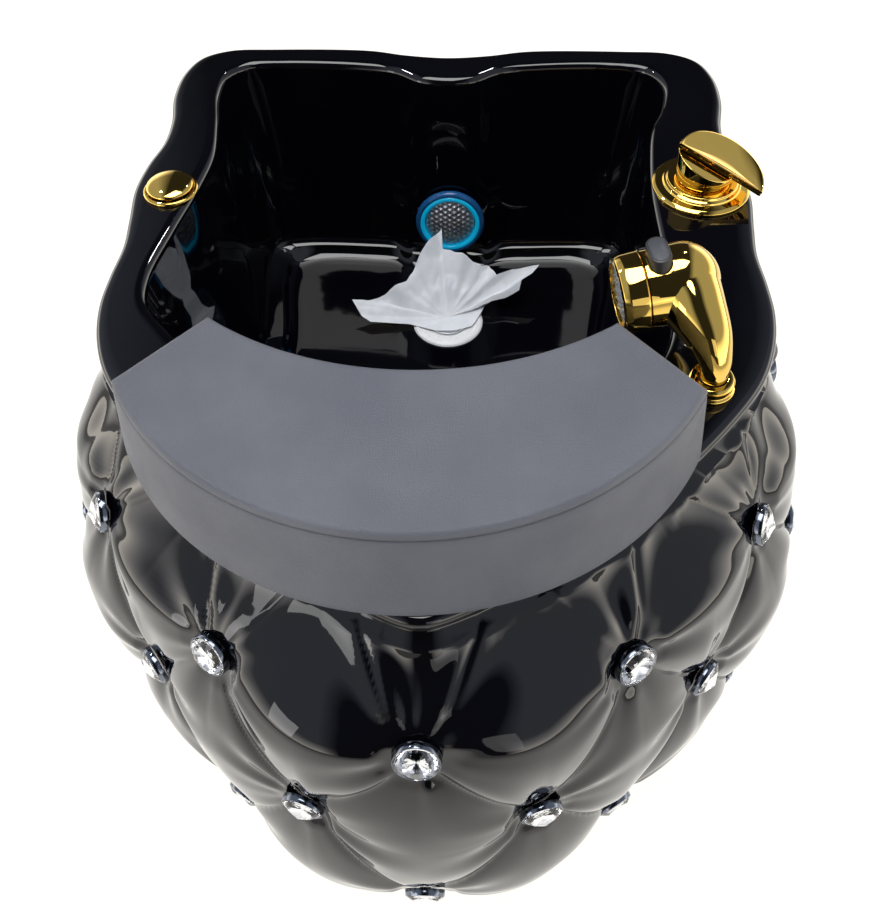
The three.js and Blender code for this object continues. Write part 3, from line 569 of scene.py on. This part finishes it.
def tufted_shell(seats):
    columns, rows = 756, 168
    angle = (np.arange(columns) / columns * 2 - 1) * math.pi
    heights = np.linspace(SHELL_FOOT_Z, SHELL_TOP_Z, rows)
    around, z = np.meshgrid(angle, heights)
    fade = 1 - smoothstep(*TUFT_FADE, np.abs(around))
    fade *= (1 - smoothstep(*TUFT_TOP, z)) * smoothstep(*TUFT_FOOT, z)
    outside = shell_surface(around, z, TUFT_DEPTH * pillow(around, z) * fade, TOP_PUFF * (z < TOP_PUFF_Z))
    for k, (name, _, seat) in enumerate(seats):
        centre, across, rise, normal = [np.array(v) for v in (
            seat.translation, seat.col[0].xyz, seat.col[1].xyz, seat.col[2].xyz)]
        offset = outside - centre
        far = np.linalg.norm(offset, axis=-1)
        spoke = np.arctan2(offset @ rise, offset @ across)
        pleats = np.cos(7 * spoke + 1.7 * k) + 0.6 * np.cos(11 * spoke - 2.3 * k)
        size = PLEAT_DEPTH * smoothstep(12, 26, far) * (1 - smoothstep(34, PLEAT_REACH, far))
        size *= fade * (np.abs(offset @ normal) < 40)
        swell_out = size * (pleats - 1)
        for side in (-1, 1):
            lean = math.radians(RIDGE_LEAN)
            up = (offset @ rise) * math.cos(lean) + side * (offset @ across) * math.sin(lean)
            aside = side * (offset @ across) * math.cos(lean) - (offset @ rise) * math.sin(lean)
            ridge = np.exp(-(aside / RIDGE_WIDTH) ** 2) * smoothstep(*RIDGE_START, up)
            ridge *= 1 - smoothstep(*RIDGE_END, up)
            swell_out += RIDGE_HEIGHT * ridge * name.startswith("crystal_upper") * (z < RIDGE_TOP_Z)
        outside = outside + swell_out[..., None] * normal
        offset = outside - centre
        share = 1 - smoothstep(14, 30, np.linalg.norm(offset, axis=-1))
        depth = (offset @ normal) + 0.6
        outside = outside - (share * np.maximum(depth, 0))[..., None] * normal
    inner_heights = np.linspace(SHELL_TOP_Z, SHELL_FOOT_Z, 24)
    around, z = np.meshgrid(angle, inner_heights)
    inside = shell_surface(around, z, np.full(z.shape, -float(WALL)))
    shape = loft(np.concatenate([outside, inside]), wrap=True)
    piece_from("shell_moulding", shape, Matrix(), "root", GELCOAT, ["tufted_shell"], 60)


# ---------------------------------------------------------------- crystal buttons
def crystal_buttons(seats):
    for name, node, seat in seats:
        girdle, facets = 13.7, 16
        collar = rounded([(13.9, 0.4), (15, 0.4), (15, 3.4), (14.5, 5.6), (13.9, 5.6), (13.9, 0.4)], 0.4, 3)
        replaced = [node] if node else []
        setting = lathe(collar[:-1] + [collar[0]], 40)
        piece_from(f"{name}_setting", setting, seat, "root", SETTING, replaced)
        turn = np.arange(facets) * 2 * math.pi / facets
        half = turn + math.pi / facets
        crown = [circle(girdle, 5.2, turn), circle(girdle, 6.0, turn), circle(girdle * 0.6, 9.2, half)]
        cut_stone = np.vstack([*crown, [[0, 0, 12.2], [0, 0, 1.6]]])
        back = np.vstack([circle(girdle + 0.15, 5.1, turn), circle(girdle + 0.15, 0.6, turn),
                          [[0, 0, 1.3], [0, 0, 0.6]]])
        apex, culet = 3 * facets, 3 * facets + 1
        stone, foil = [], []
        for j in range(facets):
            k = (j + 1) % facets
            stone += [[j, k, facets + k, facets + j], [facets + j, facets + k, 2 * facets + j],
                      [facets + k, 2 * facets + k, 2 * facets + j], [2 * facets + j, 2 * facets + k, apex],
                      [k, j, culet]]
            foil += [[j, k, 2 * facets], [k, j, facets + j, facets + k],
                     [facets + k, facets + j, 2 * facets + 1]]
        piece_from(f"{name}_stone", (cut_stone, stone), seat, "root", STONE, (), 1)
        piece_from(f"{name}_foil", (back, foil), seat, "root", FOIL, (), 1)


# ---------------------------------------------------------------- rest pad
PAD_X = -10
PAD_SEAT = DECK_Z + GAP
PAD_HEIGHT = 61
PAD_FRONT_SEAT = (203, -94, 0.357 * math.pi)      # radius, centre and half angle
PAD_FRONT_TOP = (200, -81, 0.342 * math.pi)
PAD_BACK = (216, 52, 0.202 * math.pi)
PAD_EDGE = 3.0


def pad_level(rise, shrink, across=108, deep=44):
    """A grid of points over the pad's outline at one height, moved inwards by shrink."""
    share = rise / PAD_HEIGHT
    radius, y, half = [a + (b - a) * share for a, b in zip(PAD_FRONT_SEAT, PAD_FRONT_TOP)]
    s = np.linspace(-1, 1, across)[None, :]
    t = np.linspace(0, 1, deep)[:, None]
    front_turn = s * (half - shrink / radius)
    back_turn = s * (PAD_BACK[2] - shrink / PAD_BACK[0])
    front_r, back_r = radius - shrink, PAD_BACK[0] + shrink
    front = np.stack([front_r * np.sin(front_turn), y - front_r * np.cos(front_turn)], -1)
    back = np.stack([back_r * np.sin(back_turn), PAD_BACK[1] - back_r * np.cos(back_turn)], -1)
    flat = front + (back - front) * t[..., None]
    return np.concatenate([flat + (PAD_X, RIM_CENTRE_Y), np.full(flat.shape[:2] + (1,), PAD_SEAT + rise)], -1)


def pad_outline(level):
    """The edge of a grid as one closed ring."""
    return np.concatenate([level[0, :-1], level[:-1, -1], level[-1, :0:-1], level[:0:-1, 0]])


def rest_pad():
    quarter = np.radians(np.arange(0, 90, 15))
    lower = [(PAD_EDGE * 0.5 * (1 - math.sin(a)), PAD_EDGE * 0.5 * (1 - math.cos(a))) for a in quarter]
    upper = [(PAD_EDGE * (1 - math.cos(a)), PAD_HEIGHT - PAD_EDGE * (1 - math.sin(a))) for a in quarter]
    sides = [(0.0, PAD_EDGE * 0.5 + (PAD_HEIGHT - PAD_EDGE * 4) * k / 14) for k in range(1, 15)]
    sides += [(0.1, PAD_HEIGHT - 6.2), (1.3, PAD_HEIGHT - 5.4), (0.1, PAD_HEIGHT - 4.6)]
    rings = [pad_outline(pad_level(z, shrink)) for shrink, z in lower + sides + upper]
    bottom, top = pad_level(0, PAD_EDGE * 0.5), pad_level(PAD_HEIGHT, PAD_EDGE)
    deep, across = top.shape[:2]
    vertices = np.concatenate([np.concatenate(rings), bottom.reshape(-1, 3), top.reshape(-1, 3)])
    count = len(rings[0])
    faces = grid_faces(len(rings), count).tolist()
    first, second = len(rings) * count, len(rings) * count + deep * across
    cap = grid_faces(deep, across, wrap_columns=False)
    faces += (cap[:, ::-1] + first).tolist() + (cap + second).tolist()
    edge = pad_outline(np.arange(deep * across).reshape(deep, across))
    last = (len(rings) - 1) * count
    for j in range(count):
        k = (j + 1) % count
        faces.append([j, k, int(first + edge[k]), int(first + edge[j])][::-1])
        faces.append([last + j, last + k, int(second + edge[k]), int(second + edge[j])])
    pad = loose("pad_cushion", (vertices, faces))
    swell(pad)
    dress(pad, "pad", LEATHER, ["rest_pad"], 75)


def swell(pad, most=2.6):
    """Firm foam under a skin: a short pressure simulation crowns the faces, and a cap keeps them taut."""
    rest = np.array([v.co for v in pad.data.vertices], float)
    cloth = pad.modifiers.new("Cloth", "CLOTH")
    cloth.settings.use_pressure = True
    cloth.settings.uniform_pressure_force = 4
    cloth.settings.tension_stiffness = 25
    cloth.settings.compression_stiffness = 25
    cloth.settings.effector_weights.gravity = 0
    scene = bpy.context.scene
    for step in range(1, 21):
        scene.frame_set(step)
    graph = bpy.context.evaluated_depsgraph_get()
    shaped = pad.evaluated_get(graph).to_mesh()
    moved = np.array([v.co for v in shaped.vertices], float) - rest
    pad.modifiers.clear()
    scene.frame_set(1)
    length = np.linalg.norm(moved, axis=1)[:, None]
    height = (rest[:, 2:3] / MM - PAD_SEAT) / PAD_HEIGHT
    limit = most * MM * np.clip(height * 3, 0, 1)
    moved *= np.minimum(limit / np.maximum(length, 1e-9), 1)
    for vertex, place in zip(pad.data.vertices, rest + moved):
        vertex.co = place


# ---------------------------------------------------------------- mixer
LEVER_TILT = math.radians(20)
MIXER_TURN = math.radians(-22)
NECK_RADIUS = 22
NECK_TOP = 27


def turned_piece(name, profile, place, body, material, replaces, soften=0.6, segments=96):
    shape = lathe(rounded(profile, soften), segments)
    return piece_from(name, shape, place, body, material, replaces)


def mixer():
    at = Matrix.Translation(Vector((MIXER.x, MIXER.y, DECK_Z)))
    turned_piece("mixer_base_rings", [
        (16.6, 0.3), (39, 0.3), (39, 2.6), (36.5, 4.2), (31, 5.0), (30.6, 6.4), (28.4, 7.2), (27.8, 9.2),
        (25.2, 9.4), (16.6, 9.4), (16.6, 0.3)], at, "root", GOLD, ["mixer_escutcheon"])
    swivel = at @ Matrix.Rotation(MIXER_TURN, 4, "Z")
    slope = math.tan(LEVER_TILT)
    profile = rounded([(0, NECK_TOP - 6), (17, NECK_TOP - 6), (17, 9.7), (20.5, 9.7), (NECK_RADIUS, 11.5),
                       (NECK_RADIUS + 1, 20), (NECK_RADIUS + 1.5, NECK_TOP), (0, NECK_TOP)], 0.8)
    vertices, faces = lathe(profile, 96)
    lift = smoothstep(NECK_TOP - 14, NECK_TOP - 6, vertices[:, 2])
    vertices[:, 2] -= slope * vertices[:, 0] * lift
    piece_from("mixer_body", (vertices, faces), swivel, "mixer_swivel", GOLD, ["mixer_neck"])
    lever_place = swivel @ Matrix.Translation((0, 0, NECK_TOP + 0.6)) @ Matrix.Rotation(LEVER_TILT, 4, "Y")
    piece_from("mixer_paddle", lever_shape(), lever_place, "mixer_handle", GOLD, ["mixer_lever"], 30)


def lever_shape(left=-25, straight=-9, width=75, reach=37, thick=5.0):
    """A scooped half disc: straight in front, round behind, with a thick banded rim behind."""
    turn = np.linspace(0, math.pi, 73)
    arc = np.stack([left + width / 2 + width / 2 * np.cos(turn), straight + reach * np.sin(turn)], 1)
    front = np.linspace((left, straight), (left + width, straight), 26)[1:-1]
    outline = np.concatenate([arc, front])
    centre = np.array([left + width / 2, straight + reach * 0.42])
    behind = smoothstep(0.05, 0.6, (outline[:, 1] - straight) / reach)

    def ring(inset, z):
        inward = centre - outline
        inward = inward / np.linalg.norm(inward, axis=1)[:, None]
        flat = outline + inward * inset
        return np.concatenate([flat, np.broadcast_to(z, len(flat))[:, None]], 1)

    rim = thick + 1.6 * behind
    rings = [ring(1.2, 0), ring(0.3, 0.4), ring(0, 1.2), ring(0.1, rim * 0.42), ring(0.9, rim * 0.5),
             ring(0.2, rim * 0.58), ring(0, rim - 1.0), ring(0.4, rim - 0.2), ring(1.4, rim),
             ring(2.4, rim - 0.4)]
    edge = rings[-1][:, :2]
    for share in (0.15, 0.3, 0.45, 0.6, 0.75, 0.9):
        flat = edge + (centre - edge) * share
        dish = rim - 0.4 - (rim - 0.4 - (thick - 2.6)) * (1 - (1 - share) ** 2)
        rings.append(np.concatenate([flat, dish[:, None]], 1))
    return loft(rings)


# ---------------------------------------------------------------- spray
SPRAY_HEAD = Vector((-23, 49, 49))
NOZZLE_AIM = Vector((-0.975, -0.15, -0.165)).normalized()
HEAD_RADIUS = 26.5
BARREL_LENGTH = 24
HANDLE = [
    ((0, 0, 12), 9.2), ((0, 0, 16), 9.4), ((-1, 3, 24), 11.2), ((-6, 13, 35), 15.4),
    ((-14, 28, 44), 20), ((-20, 42, 48), 24),
]
THUMB_ALONG = 14
THUMB_WIDTH = 14
THUMB_LENGTH = 25


def sweep(stations, count=48, steps=8):
    """A round bar of changing radius along smooth stations."""
    path = np.array([(*at, radius) for at, radius in stations], float)
    knots = np.vstack([2 * path[0] - path[1], path, 2 * path[-1] - path[-2]])
    fine = []
    for k in range(1, len(knots) - 2):
        a, b, c, d = knots[k - 1:k + 3]
        for t in np.linspace(0, 1, steps, endpoint=False):
            fine.append(0.5 * (2 * b + (c - a) * t + (2 * a - 5 * b + 4 * c - d) * t ** 2
                               + (3 * b - a - 3 * c + d) * t ** 3))
    fine = np.array(fine + [knots[-2]])
    turn = np.linspace(0, 2 * math.pi, count, endpoint=False)
    rings = []
    for k, (x, y, z, radius) in enumerate(fine):
        along = Vector(fine[min(k + 1, len(fine) - 1)][:3] - fine[max(k - 1, 0)][:3])
        rings.append(placed(circle(radius, 0, turn), frame_at((x, y, z), (1, 0, 0), along)))
    return loft(rings)


def oval(width, length, low, high, edge=0.0, count=24):
    """A prism with round ends, its long side along local Y, with a softened top edge."""
    turn = np.linspace(0, math.pi, count)
    straight = (length - width) / 2
    half = np.stack([np.cos(turn), np.sin(turn)], 1)
    rings = []
    for inset, z in ((0, low), (0, high - edge), (edge * 0.3, high - edge * 0.3), (edge, high)):
        radius = width / 2 - inset
        flat = np.concatenate([half * radius + (0, straight), -half * radius - (0, straight)])
        rings.append(np.concatenate([flat, np.full((len(flat), 1), z)], 1))
    return loft(rings if edge else [rings[0], rings[-1]])


def spray():
    base = Vector((SPRAY.x, SPRAY.y, DECK_Z))
    at = Matrix.Translation(base)
    turned_piece("spray_base_collar", [
        (9.8, -42), (12, -42), (12, 0.3), (16.4, 0.3), (16.4, 2.6), (14.6, 4), (14.6, 8), (15.4, 9.4),
        (13.6, 11.4), (9.8, 11.4), (9.8, -42)], at, "root", GOLD, ["spray_collar"])
    head = frame_at(base + SPRAY_HEAD, (0, 0, 1), NOZZLE_AIM)
    turn = np.linspace(0, math.pi / 2, 16)
    dome = [(HEAD_RADIUS * math.sin(a), -HEAD_RADIUS * math.cos(a)) for a in turn]
    barrel = [(HEAD_RADIUS, BARREL_LENGTH), (0, BARREL_LENGTH)]
    shell = loose("dome", lathe([(0, -HEAD_RADIUS), *dome[1:], *barrel], 96), head)
    handle = loose("spray_handle_and_head", sweep(HANDLE), at)
    modified(handle, "BOOLEAN", operation="UNION", solver="EXACT", object=shell)
    bpy.data.objects.remove(shell)
    up = (Vector((0, 0, 1)) - NOZZLE_AIM.z * NOZZLE_AIM).normalized()
    thumb = frame_at(base + SPRAY_HEAD + NOZZLE_AIM * THUMB_ALONG + up * HEAD_RADIUS, NOZZLE_AIM, up)
    pocket = oval(THUMB_WIDTH + 1.5, THUMB_LENGTH + 1.5, -9.5, 12)
    cut(handle, loose("pocket", pocket, thumb))
    dress(handle, "spray_handset", GOLD, ["spray_body"], 38)
    mouth = head @ Matrix.Translation((0, 0, BARREL_LENGTH))
    turned_piece("spray_nozzle", [
        (19, 0.3), (25.6, 0.3), (26.9, 1.4), (26.4, 13), (25.2, 17), (21.5, 18), (21.5, 12), (19, 12),
        (19, 0.3)], mouth, "spray_handset", GOLD, ["spray_nozzle_ring"])
    spray_plate(mouth)
    turned_piece("spray_hose_end", [
        (0, -24), (9.2, -24), (9.2, 9.8), (7.6, 10.6), (7.6, 11.6), (0, 11.6)],
        at, "spray_hose", BLACK_PLASTIC, ["spray_hose_ferrule"], 0.3)
    button = oval(THUMB_WIDTH, THUMB_LENGTH, -6.5, 6.6, 1.2)
    piece_from("spray_thumb_cap", button, thumb, "spray_thumb", BLACK_PLASTIC,
               ["spray_thumb_button"])
    face = oval(THUMB_WIDTH - 3.6, THUMB_LENGTH - 3.6, 6.3, 7.0, 0.3)
    piece_from("spray_thumb_inlay", face, thumb, "spray_thumb", SLATE_PLASTIC)


def spray_plate(mouth):
    """The spray's face: a plate with rings of small nozzles."""
    vertices, faces = rod(21.2, 12.4, 14.8, 96)
    vertices, faces = list(vertices), list(faces)
    for radius, count in ((0, 1), (5.5, 6), (11, 12), (16.5, 18)):
        for k in range(count):
            angle = 2 * math.pi * k / count
            tip, sides = lathe([(0, 14.6), (1.3, 14.6), (0.9, 16.0), (0, 16.0)], 12)
            faces += [[i + len(vertices) for i in side] for side in sides]
            vertices += list(tip + (radius * math.cos(angle), radius * math.sin(angle), 0))
    piece_from("spray_plate", (vertices, faces), mouth, "spray_handset",
               GREY_PLASTIC, ["spray_face"])


# ---------------------------------------------------------------- air switch
def air_switch():
    at = Matrix.Translation(Vector((AIR_SWITCH.x, AIR_SWITCH.y, DECK_Z)))
    turned_piece("air_switch_flange", [
        (6, -26), (9, -26), (9, 0.3), (22, 0.3), (22, 1.8), (21, 2.8), (19.6, 3.2), (19.3, 1.6),
        (6, 1.6), (6, -26)], at, "root", GOLD, ["air_switch_bezel"], 0.4)
    dome = [(19 * math.cos(a), 5 + 5.4 * math.sin(a)) for a in np.radians(np.arange(6, 90, 6))]
    turned_piece("air_switch_dome", [(0, -20), (5.5, -20), (5.5, 4.8), (18.8, 4.8), *dome, (0, 10.4)],
                 at, "air_button", GOLD, ["air_switch_button"], 0.4)


# ---------------------------------------------------------------- water jet
def jet():
    at = frame_at(JET, (1, 0, 0), JET_AIM)
    turned_piece("jet_outer_ring", [
        (30.2, 0.3), (35, 0.3), (35, 3.6), (34.2, 5.4), (32.2, 6.8), (30.2, 6.4), (30.2, 0.3)],
        at, "root", BLUE_RING, ["jet_light_ring"], 0.8)
    turned_piece("jet_inner_ring", [
        (25.8, 0.3), (30.0, 0.3), (30.0, 6.2), (28.6, 7.3), (26.6, 6.8), (25.8, 5.6), (25.8, 0.3)],
        at, "root", CYAN_RING, (), 0.8)
    rings, columns, radius, cell = 60, 216, 24.8, 4.6
    turn = np.linspace(0, 2 * math.pi, columns, endpoint=False)
    rows = []
    for k in range(rings):
        r = radius * (1 - k / rings)
        x, y = r * np.cos(turn), r * np.sin(turn)
        waves = [np.cos(2 * math.pi / cell * (x * math.cos(a) + y * math.sin(a)))
                 for a in np.radians((0, 60, 120))]
        bumps = np.clip(sum(waves) / 3, -0.5, 1)
        edge = 1 - smoothstep(radius - 2, radius - 0.5, r)
        z = 4 + 5.0 * (1 - (r / radius) ** 2) + 0.9 * bumps * edge
        rows.append(np.stack([x, y, z], 1))
    shape = loft([circle(radius, 1.0, turn), *rows])
    piece_from("jet_mesh_cover", shape, at, "root", MESH_METAL, ["jet_cover"], 80)


# ---------------------------------------------------------------- drain
def drain():
    at = Matrix.Translation(Vector((DRAIN.x, DRAIN.y, FLOOR_Z)))
    turned_piece("drain_ring", [
        (17, -70), (20.4, -70), (20.4, 0.3), (35, 0.3), (35, 1.2), (33.6, 2.6), (31.4, 3.4), (29.6, 2.9),
        (29.0, 1.9), (28.2, 2.4), (23, 1.6), (21, 1.2), (17, 1.2), (17, -70)],
        at, "root", WHITE_PLASTIC, ["drain_flange"], 0.3)
    profile = rounded([
        (0, -3), (14, -3), (16.4, -1), (16.4, 1), (19.5, 2.6), (19.5, 4), (14, 3), (0, 2)], 0.3)
    strainer = loose("drain_basket", lathe(profile, 64), at)
    holes = []
    for radius, count in ((5, 6), (10.5, 12)):
        for k in range(count):
            angle = 2 * math.pi * k / count
            v, f = rod(1.5, -6, 8, 12)
            holes.append((v + (radius * math.cos(angle), radius * math.sin(angle), 0), f))
    cut(strainer, *[loose("hole", shape, at) for shape in holes])
    dress(strainer, "strainer", STEEL, ["drain_strainer"])


# Edge of the crumpled packing sheet, from the drain's middle, clockwise from the left corner.
SHEET_EDGE = [
    (-77, -10, 9), (-86, -4, 12), (-96, 9, 22), (-82, 12, 20), (-64, 16, 22), (-42, 27, 30), (-27, 52, 46),
    (-20, 60, 52), (-8, 72, 62), (-7, 57, 50), (8, 52, 45), (33, 44, 36), (40, 46, 36), (48, 37, 30),
    (64, 42, 32), (91, 45, 36), (84, 36, 33), (73, 30, 29), (71, 24, 22), (50, 22, 13), (37, 16, 8),
    (30, 2, 4.6), (24, -9, 4.2), (8, -15, 4.0), (-10, -16, 4.0), (-30, -10, 4.0), (-38, -8, 4.6),
]


def packing_sheet():
    """A torn sheet pushed into the drain: folds fan out from the drain to its edge."""
    edge = np.array(SHEET_EDGE, float)
    around, steps = 8 * len(edge), 34
    place = np.arange(around) / 8
    i = place.astype(int)
    t = (place - i)[:, None]
    border = edge[i] + (edge[(i + 1) % len(edge)] - edge[i]) * t
    middle_point = np.array([0.0, 2.0, 5.0])
    rows = []
    for k in range(steps):
        share = 0.05 + 0.95 * k / (steps - 1)
        flat = middle_point + (border - middle_point) * share
        flat[:, 2] = middle_point[2] + (border[:, 2] - middle_point[2]) * share ** 1.25
        for j, point in enumerate(flat):
            angle = math.atan2(point[1], point[0])
            folds = 2.0 * share * math.sin(9 * angle + 2.5 * share) + 0.9 * share * math.sin(21 * angle)
            spot = Vector((point[0], point[1], 4.0))
            crumple = 3.4 * noise.noise(spot * 0.055) + 1.5 * abs(noise.noise(spot * 0.13))
            high = min(max((point[2] - 4) / 14, 0), 1)
            point[2] += (folds + crumple) * high
        rows.append(flat)
    at = Matrix.Translation((DRAIN.x, DRAIN.y, FLOOR_Z))
    sheet = loose("packing_sheet", loft(rows, cap_end=False), at)
    modified(sheet, "SOLIDIFY", thickness=0.25 * MM, offset=0)
    dress(sheet, "strainer", PAPER, (), 50)


# ---------------------------------------------------------------- carried-over CAD nodes
CAD_FINISHES = {
    "brass": BRASS, "steel": STEEL, "black_plastic": BLACK_PLASTIC, "grey_plastic": GREY_PLASTIC,
    "white_plastic": WHITE_PLASTIC, "rubber": RUBBER, "board": BOARD, "gold": GOLD, "gelcoat": GELCOAT,
    "pad_leather": LEATHER, "crystal": STONE, "jet_mesh": MESH_METAL, "light_ring": CYAN_RING,
}


def finish_cad_nodes():
    for row in frame["record"]["subparts"]:
        node = frame["nodes"][row["node"]]
        node.data.materials.clear()
        node.data.materials.append(CAD_FINISHES[row["material_slot"]])


# ---------------------------------------------------------------- stage
CAMERA_PLACE = Vector((0.0283, -0.4955, 0.8922))
CAMERA_PITCH, CAMERA_YAW, CAMERA_ROLL = 0.91972, -0.04382, 0.01718
CAMERA_LENS = 37.19
ROOM_SIDE, ROOM_CEILING, ROOM_DARK = 3.0, 0.5, 0.03
# The floor's glow is painted light: emission standing in for light falling round the object.
FLOOR_GLOW = (1.3, 3.6, 1.02, 0.4)      # distances in metres, then glow near and far
GLOW_BEHIND = 0.55                      # metres that the glow's middle lies behind the object's
FLOOR_REACH = 9000                      # half width of the floor


def camera():
    forward = Vector((math.sin(CAMERA_YAW) * math.cos(CAMERA_PITCH),
                      math.cos(CAMERA_YAW) * math.cos(CAMERA_PITCH), -math.sin(CAMERA_PITCH)))
    right = Vector((math.cos(CAMERA_YAW), -math.sin(CAMERA_YAW), 0))
    down = forward.cross(right)
    roll_cos, roll_sin = math.cos(CAMERA_ROLL), math.sin(CAMERA_ROLL)
    right, down = right * roll_cos + down * roll_sin, down * roll_cos - right * roll_sin
    data = bpy.data.cameras.new("camera")
    data.lens, data.sensor_width = CAMERA_LENS, 36
    made = bpy.data.objects.new("camera", data)
    turn = Matrix((right, -down, -forward)).transposed().to_4x4()
    made.matrix_world = Matrix.Translation(CAMERA_PLACE) @ turn
    bpy.context.scene.collection.objects.link(made)
    bpy.context.scene.camera = made


def area_light(name, place, target, width, depth, power, color=(1, 1, 1)):
    data = bpy.data.lights.new(name, "AREA")
    data.shape, data.size, data.size_y = "RECTANGLE", width, depth
    data.energy, data.color = power, color
    made = bpy.data.objects.new(name, data)
    made.location = place
    made.rotation_euler = (Vector(target) - Vector(place)).to_track_quat("-Z", "Y").to_euler()
    bpy.context.scene.collection.objects.link(made)


def math_node(tree, operation, first, second=None, clamp=False):
    node = tree.nodes.new("ShaderNodeMath")
    node.operation, node.use_clamp = operation, clamp
    for socket, value in zip(node.inputs, (first, second)):
        if isinstance(value, (int, float)):
            socket.default_value = value
        elif value is not None:
            tree.links.new(value, socket)
    return node.outputs[0]


def floor_painted_glow():
    """Pale floor with a painted glow: emission brightest round the object and darker far off, a painted pool of
    light.
    """
    made = principled("floor_painted_glow", (0.25, 0.245, 0.235), 0.7)
    nodes, links = nodes_of(made)
    place, length = nodes.new("ShaderNodeTexCoord"), nodes.new("ShaderNodeVectorMath")
    length.operation = "LENGTH"
    shift = nodes.new("ShaderNodeVectorMath")
    shift.operation = "SUBTRACT"
    shift.inputs[1].default_value = (0, GLOW_BEHIND, 0)
    links.new(place.outputs["Object"], shift.inputs[0])
    links.new(shift.outputs["Vector"], length.inputs[0])
    near = nodes.new("ShaderNodeMapRange")
    near.interpolation_type = "SMOOTHSTEP"
    for socket, value in zip(("From Min", "From Max", "To Min", "To Max"), FLOOR_GLOW):
        near.inputs[socket].default_value = value
    links.new(length.outputs["Value"], near.inputs["Value"])
    shader = nodes["Principled BSDF"]
    # Painted light: the emission glow stands in for a pool of light round the object.
    shader.inputs["Emission Color"].default_value = (1, 0.965, 0.9, 1)
    links.new(near.outputs["Result"], shader.inputs["Emission Strength"])
    return made


def room():
    """Dark room, brighter to the left and right, most of all low down."""
    world = bpy.data.worlds.new("world")
    world.use_nodes = True
    tree = world.node_tree
    background = tree.nodes["Background"]
    place, split = tree.nodes.new("ShaderNodeTexCoord"), tree.nodes.new("ShaderNodeSeparateXYZ")
    tree.links.new(place.outputs["Generated"], split.inputs[0])
    x, _, z = split.outputs
    side = math_node(tree, "MULTIPLY", math_node(
        tree, "SUBTRACT", math_node(tree, "ABSOLUTE", x), 0.26), 5.0, True)
    low = math_node(tree, "SUBTRACT", 1.0, math_node(tree, "MULTIPLY", z, 2.6), True)
    band = math_node(tree, "ADD", math_node(tree, "MULTIPLY", low, ROOM_SIDE), ROOM_CEILING)
    total = math_node(tree, "ADD", math_node(tree, "MULTIPLY", side, band), ROOM_DARK)
    tint = tree.nodes.new("ShaderNodeValToRGB")
    tint.color_ramp.elements[0].color = (1.0, 0.93, 0.82, 1)
    tint.color_ramp.elements[1].color = (0.8, 0.86, 1.0, 1)
    tint.color_ramp.elements[1].position = 0.6
    tree.links.new(z, tint.inputs["Fac"])
    tree.links.new(tint.outputs["Color"], background.inputs["Color"])
    tree.links.new(total, background.inputs["Strength"])
    bpy.context.scene.world = world


def stage():
    corners = [(-1, -1), (1, -1), (1, 1), (-1, 1)]
    floor = loose("floor", ([(x * FLOOR_REACH, y * FLOOR_REACH, 0) for x, y in corners], [[0, 1, 2, 3]]))
    floor.data.materials.append(floor_painted_glow())
    room()
    aim = (cad_low + cad_high) / 2
    area_light("overhead", (-0.1, 0.05, 2.3), aim, 1.3, 1.1, 30)
    area_light("lamp_back", (0.5, 1.5, 2.1), aim, 0.1, 0.1, 4)
    area_light("lamp_left", (-0.9, 0.7, 1.8), aim, 0.08, 0.08, 3)
    area_light("strip_front", (0.7, -2.2, 1.0), aim, 0.6, 0.9, 1.5)
    area_light("strip_left", (-1.6, -1.4, 0.9), aim, 0.5, 0.9, 4)
    bpy.context.scene.view_settings.view_transform = "Standard"


camera()
stage()
seats = button_seats()
finish_cad_nodes()
basin_deck()
tufted_shell(seats)
crystal_buttons(seats)
rest_pad()
mixer()
spray()
air_switch()
jet()
drain()
packing_sheet()
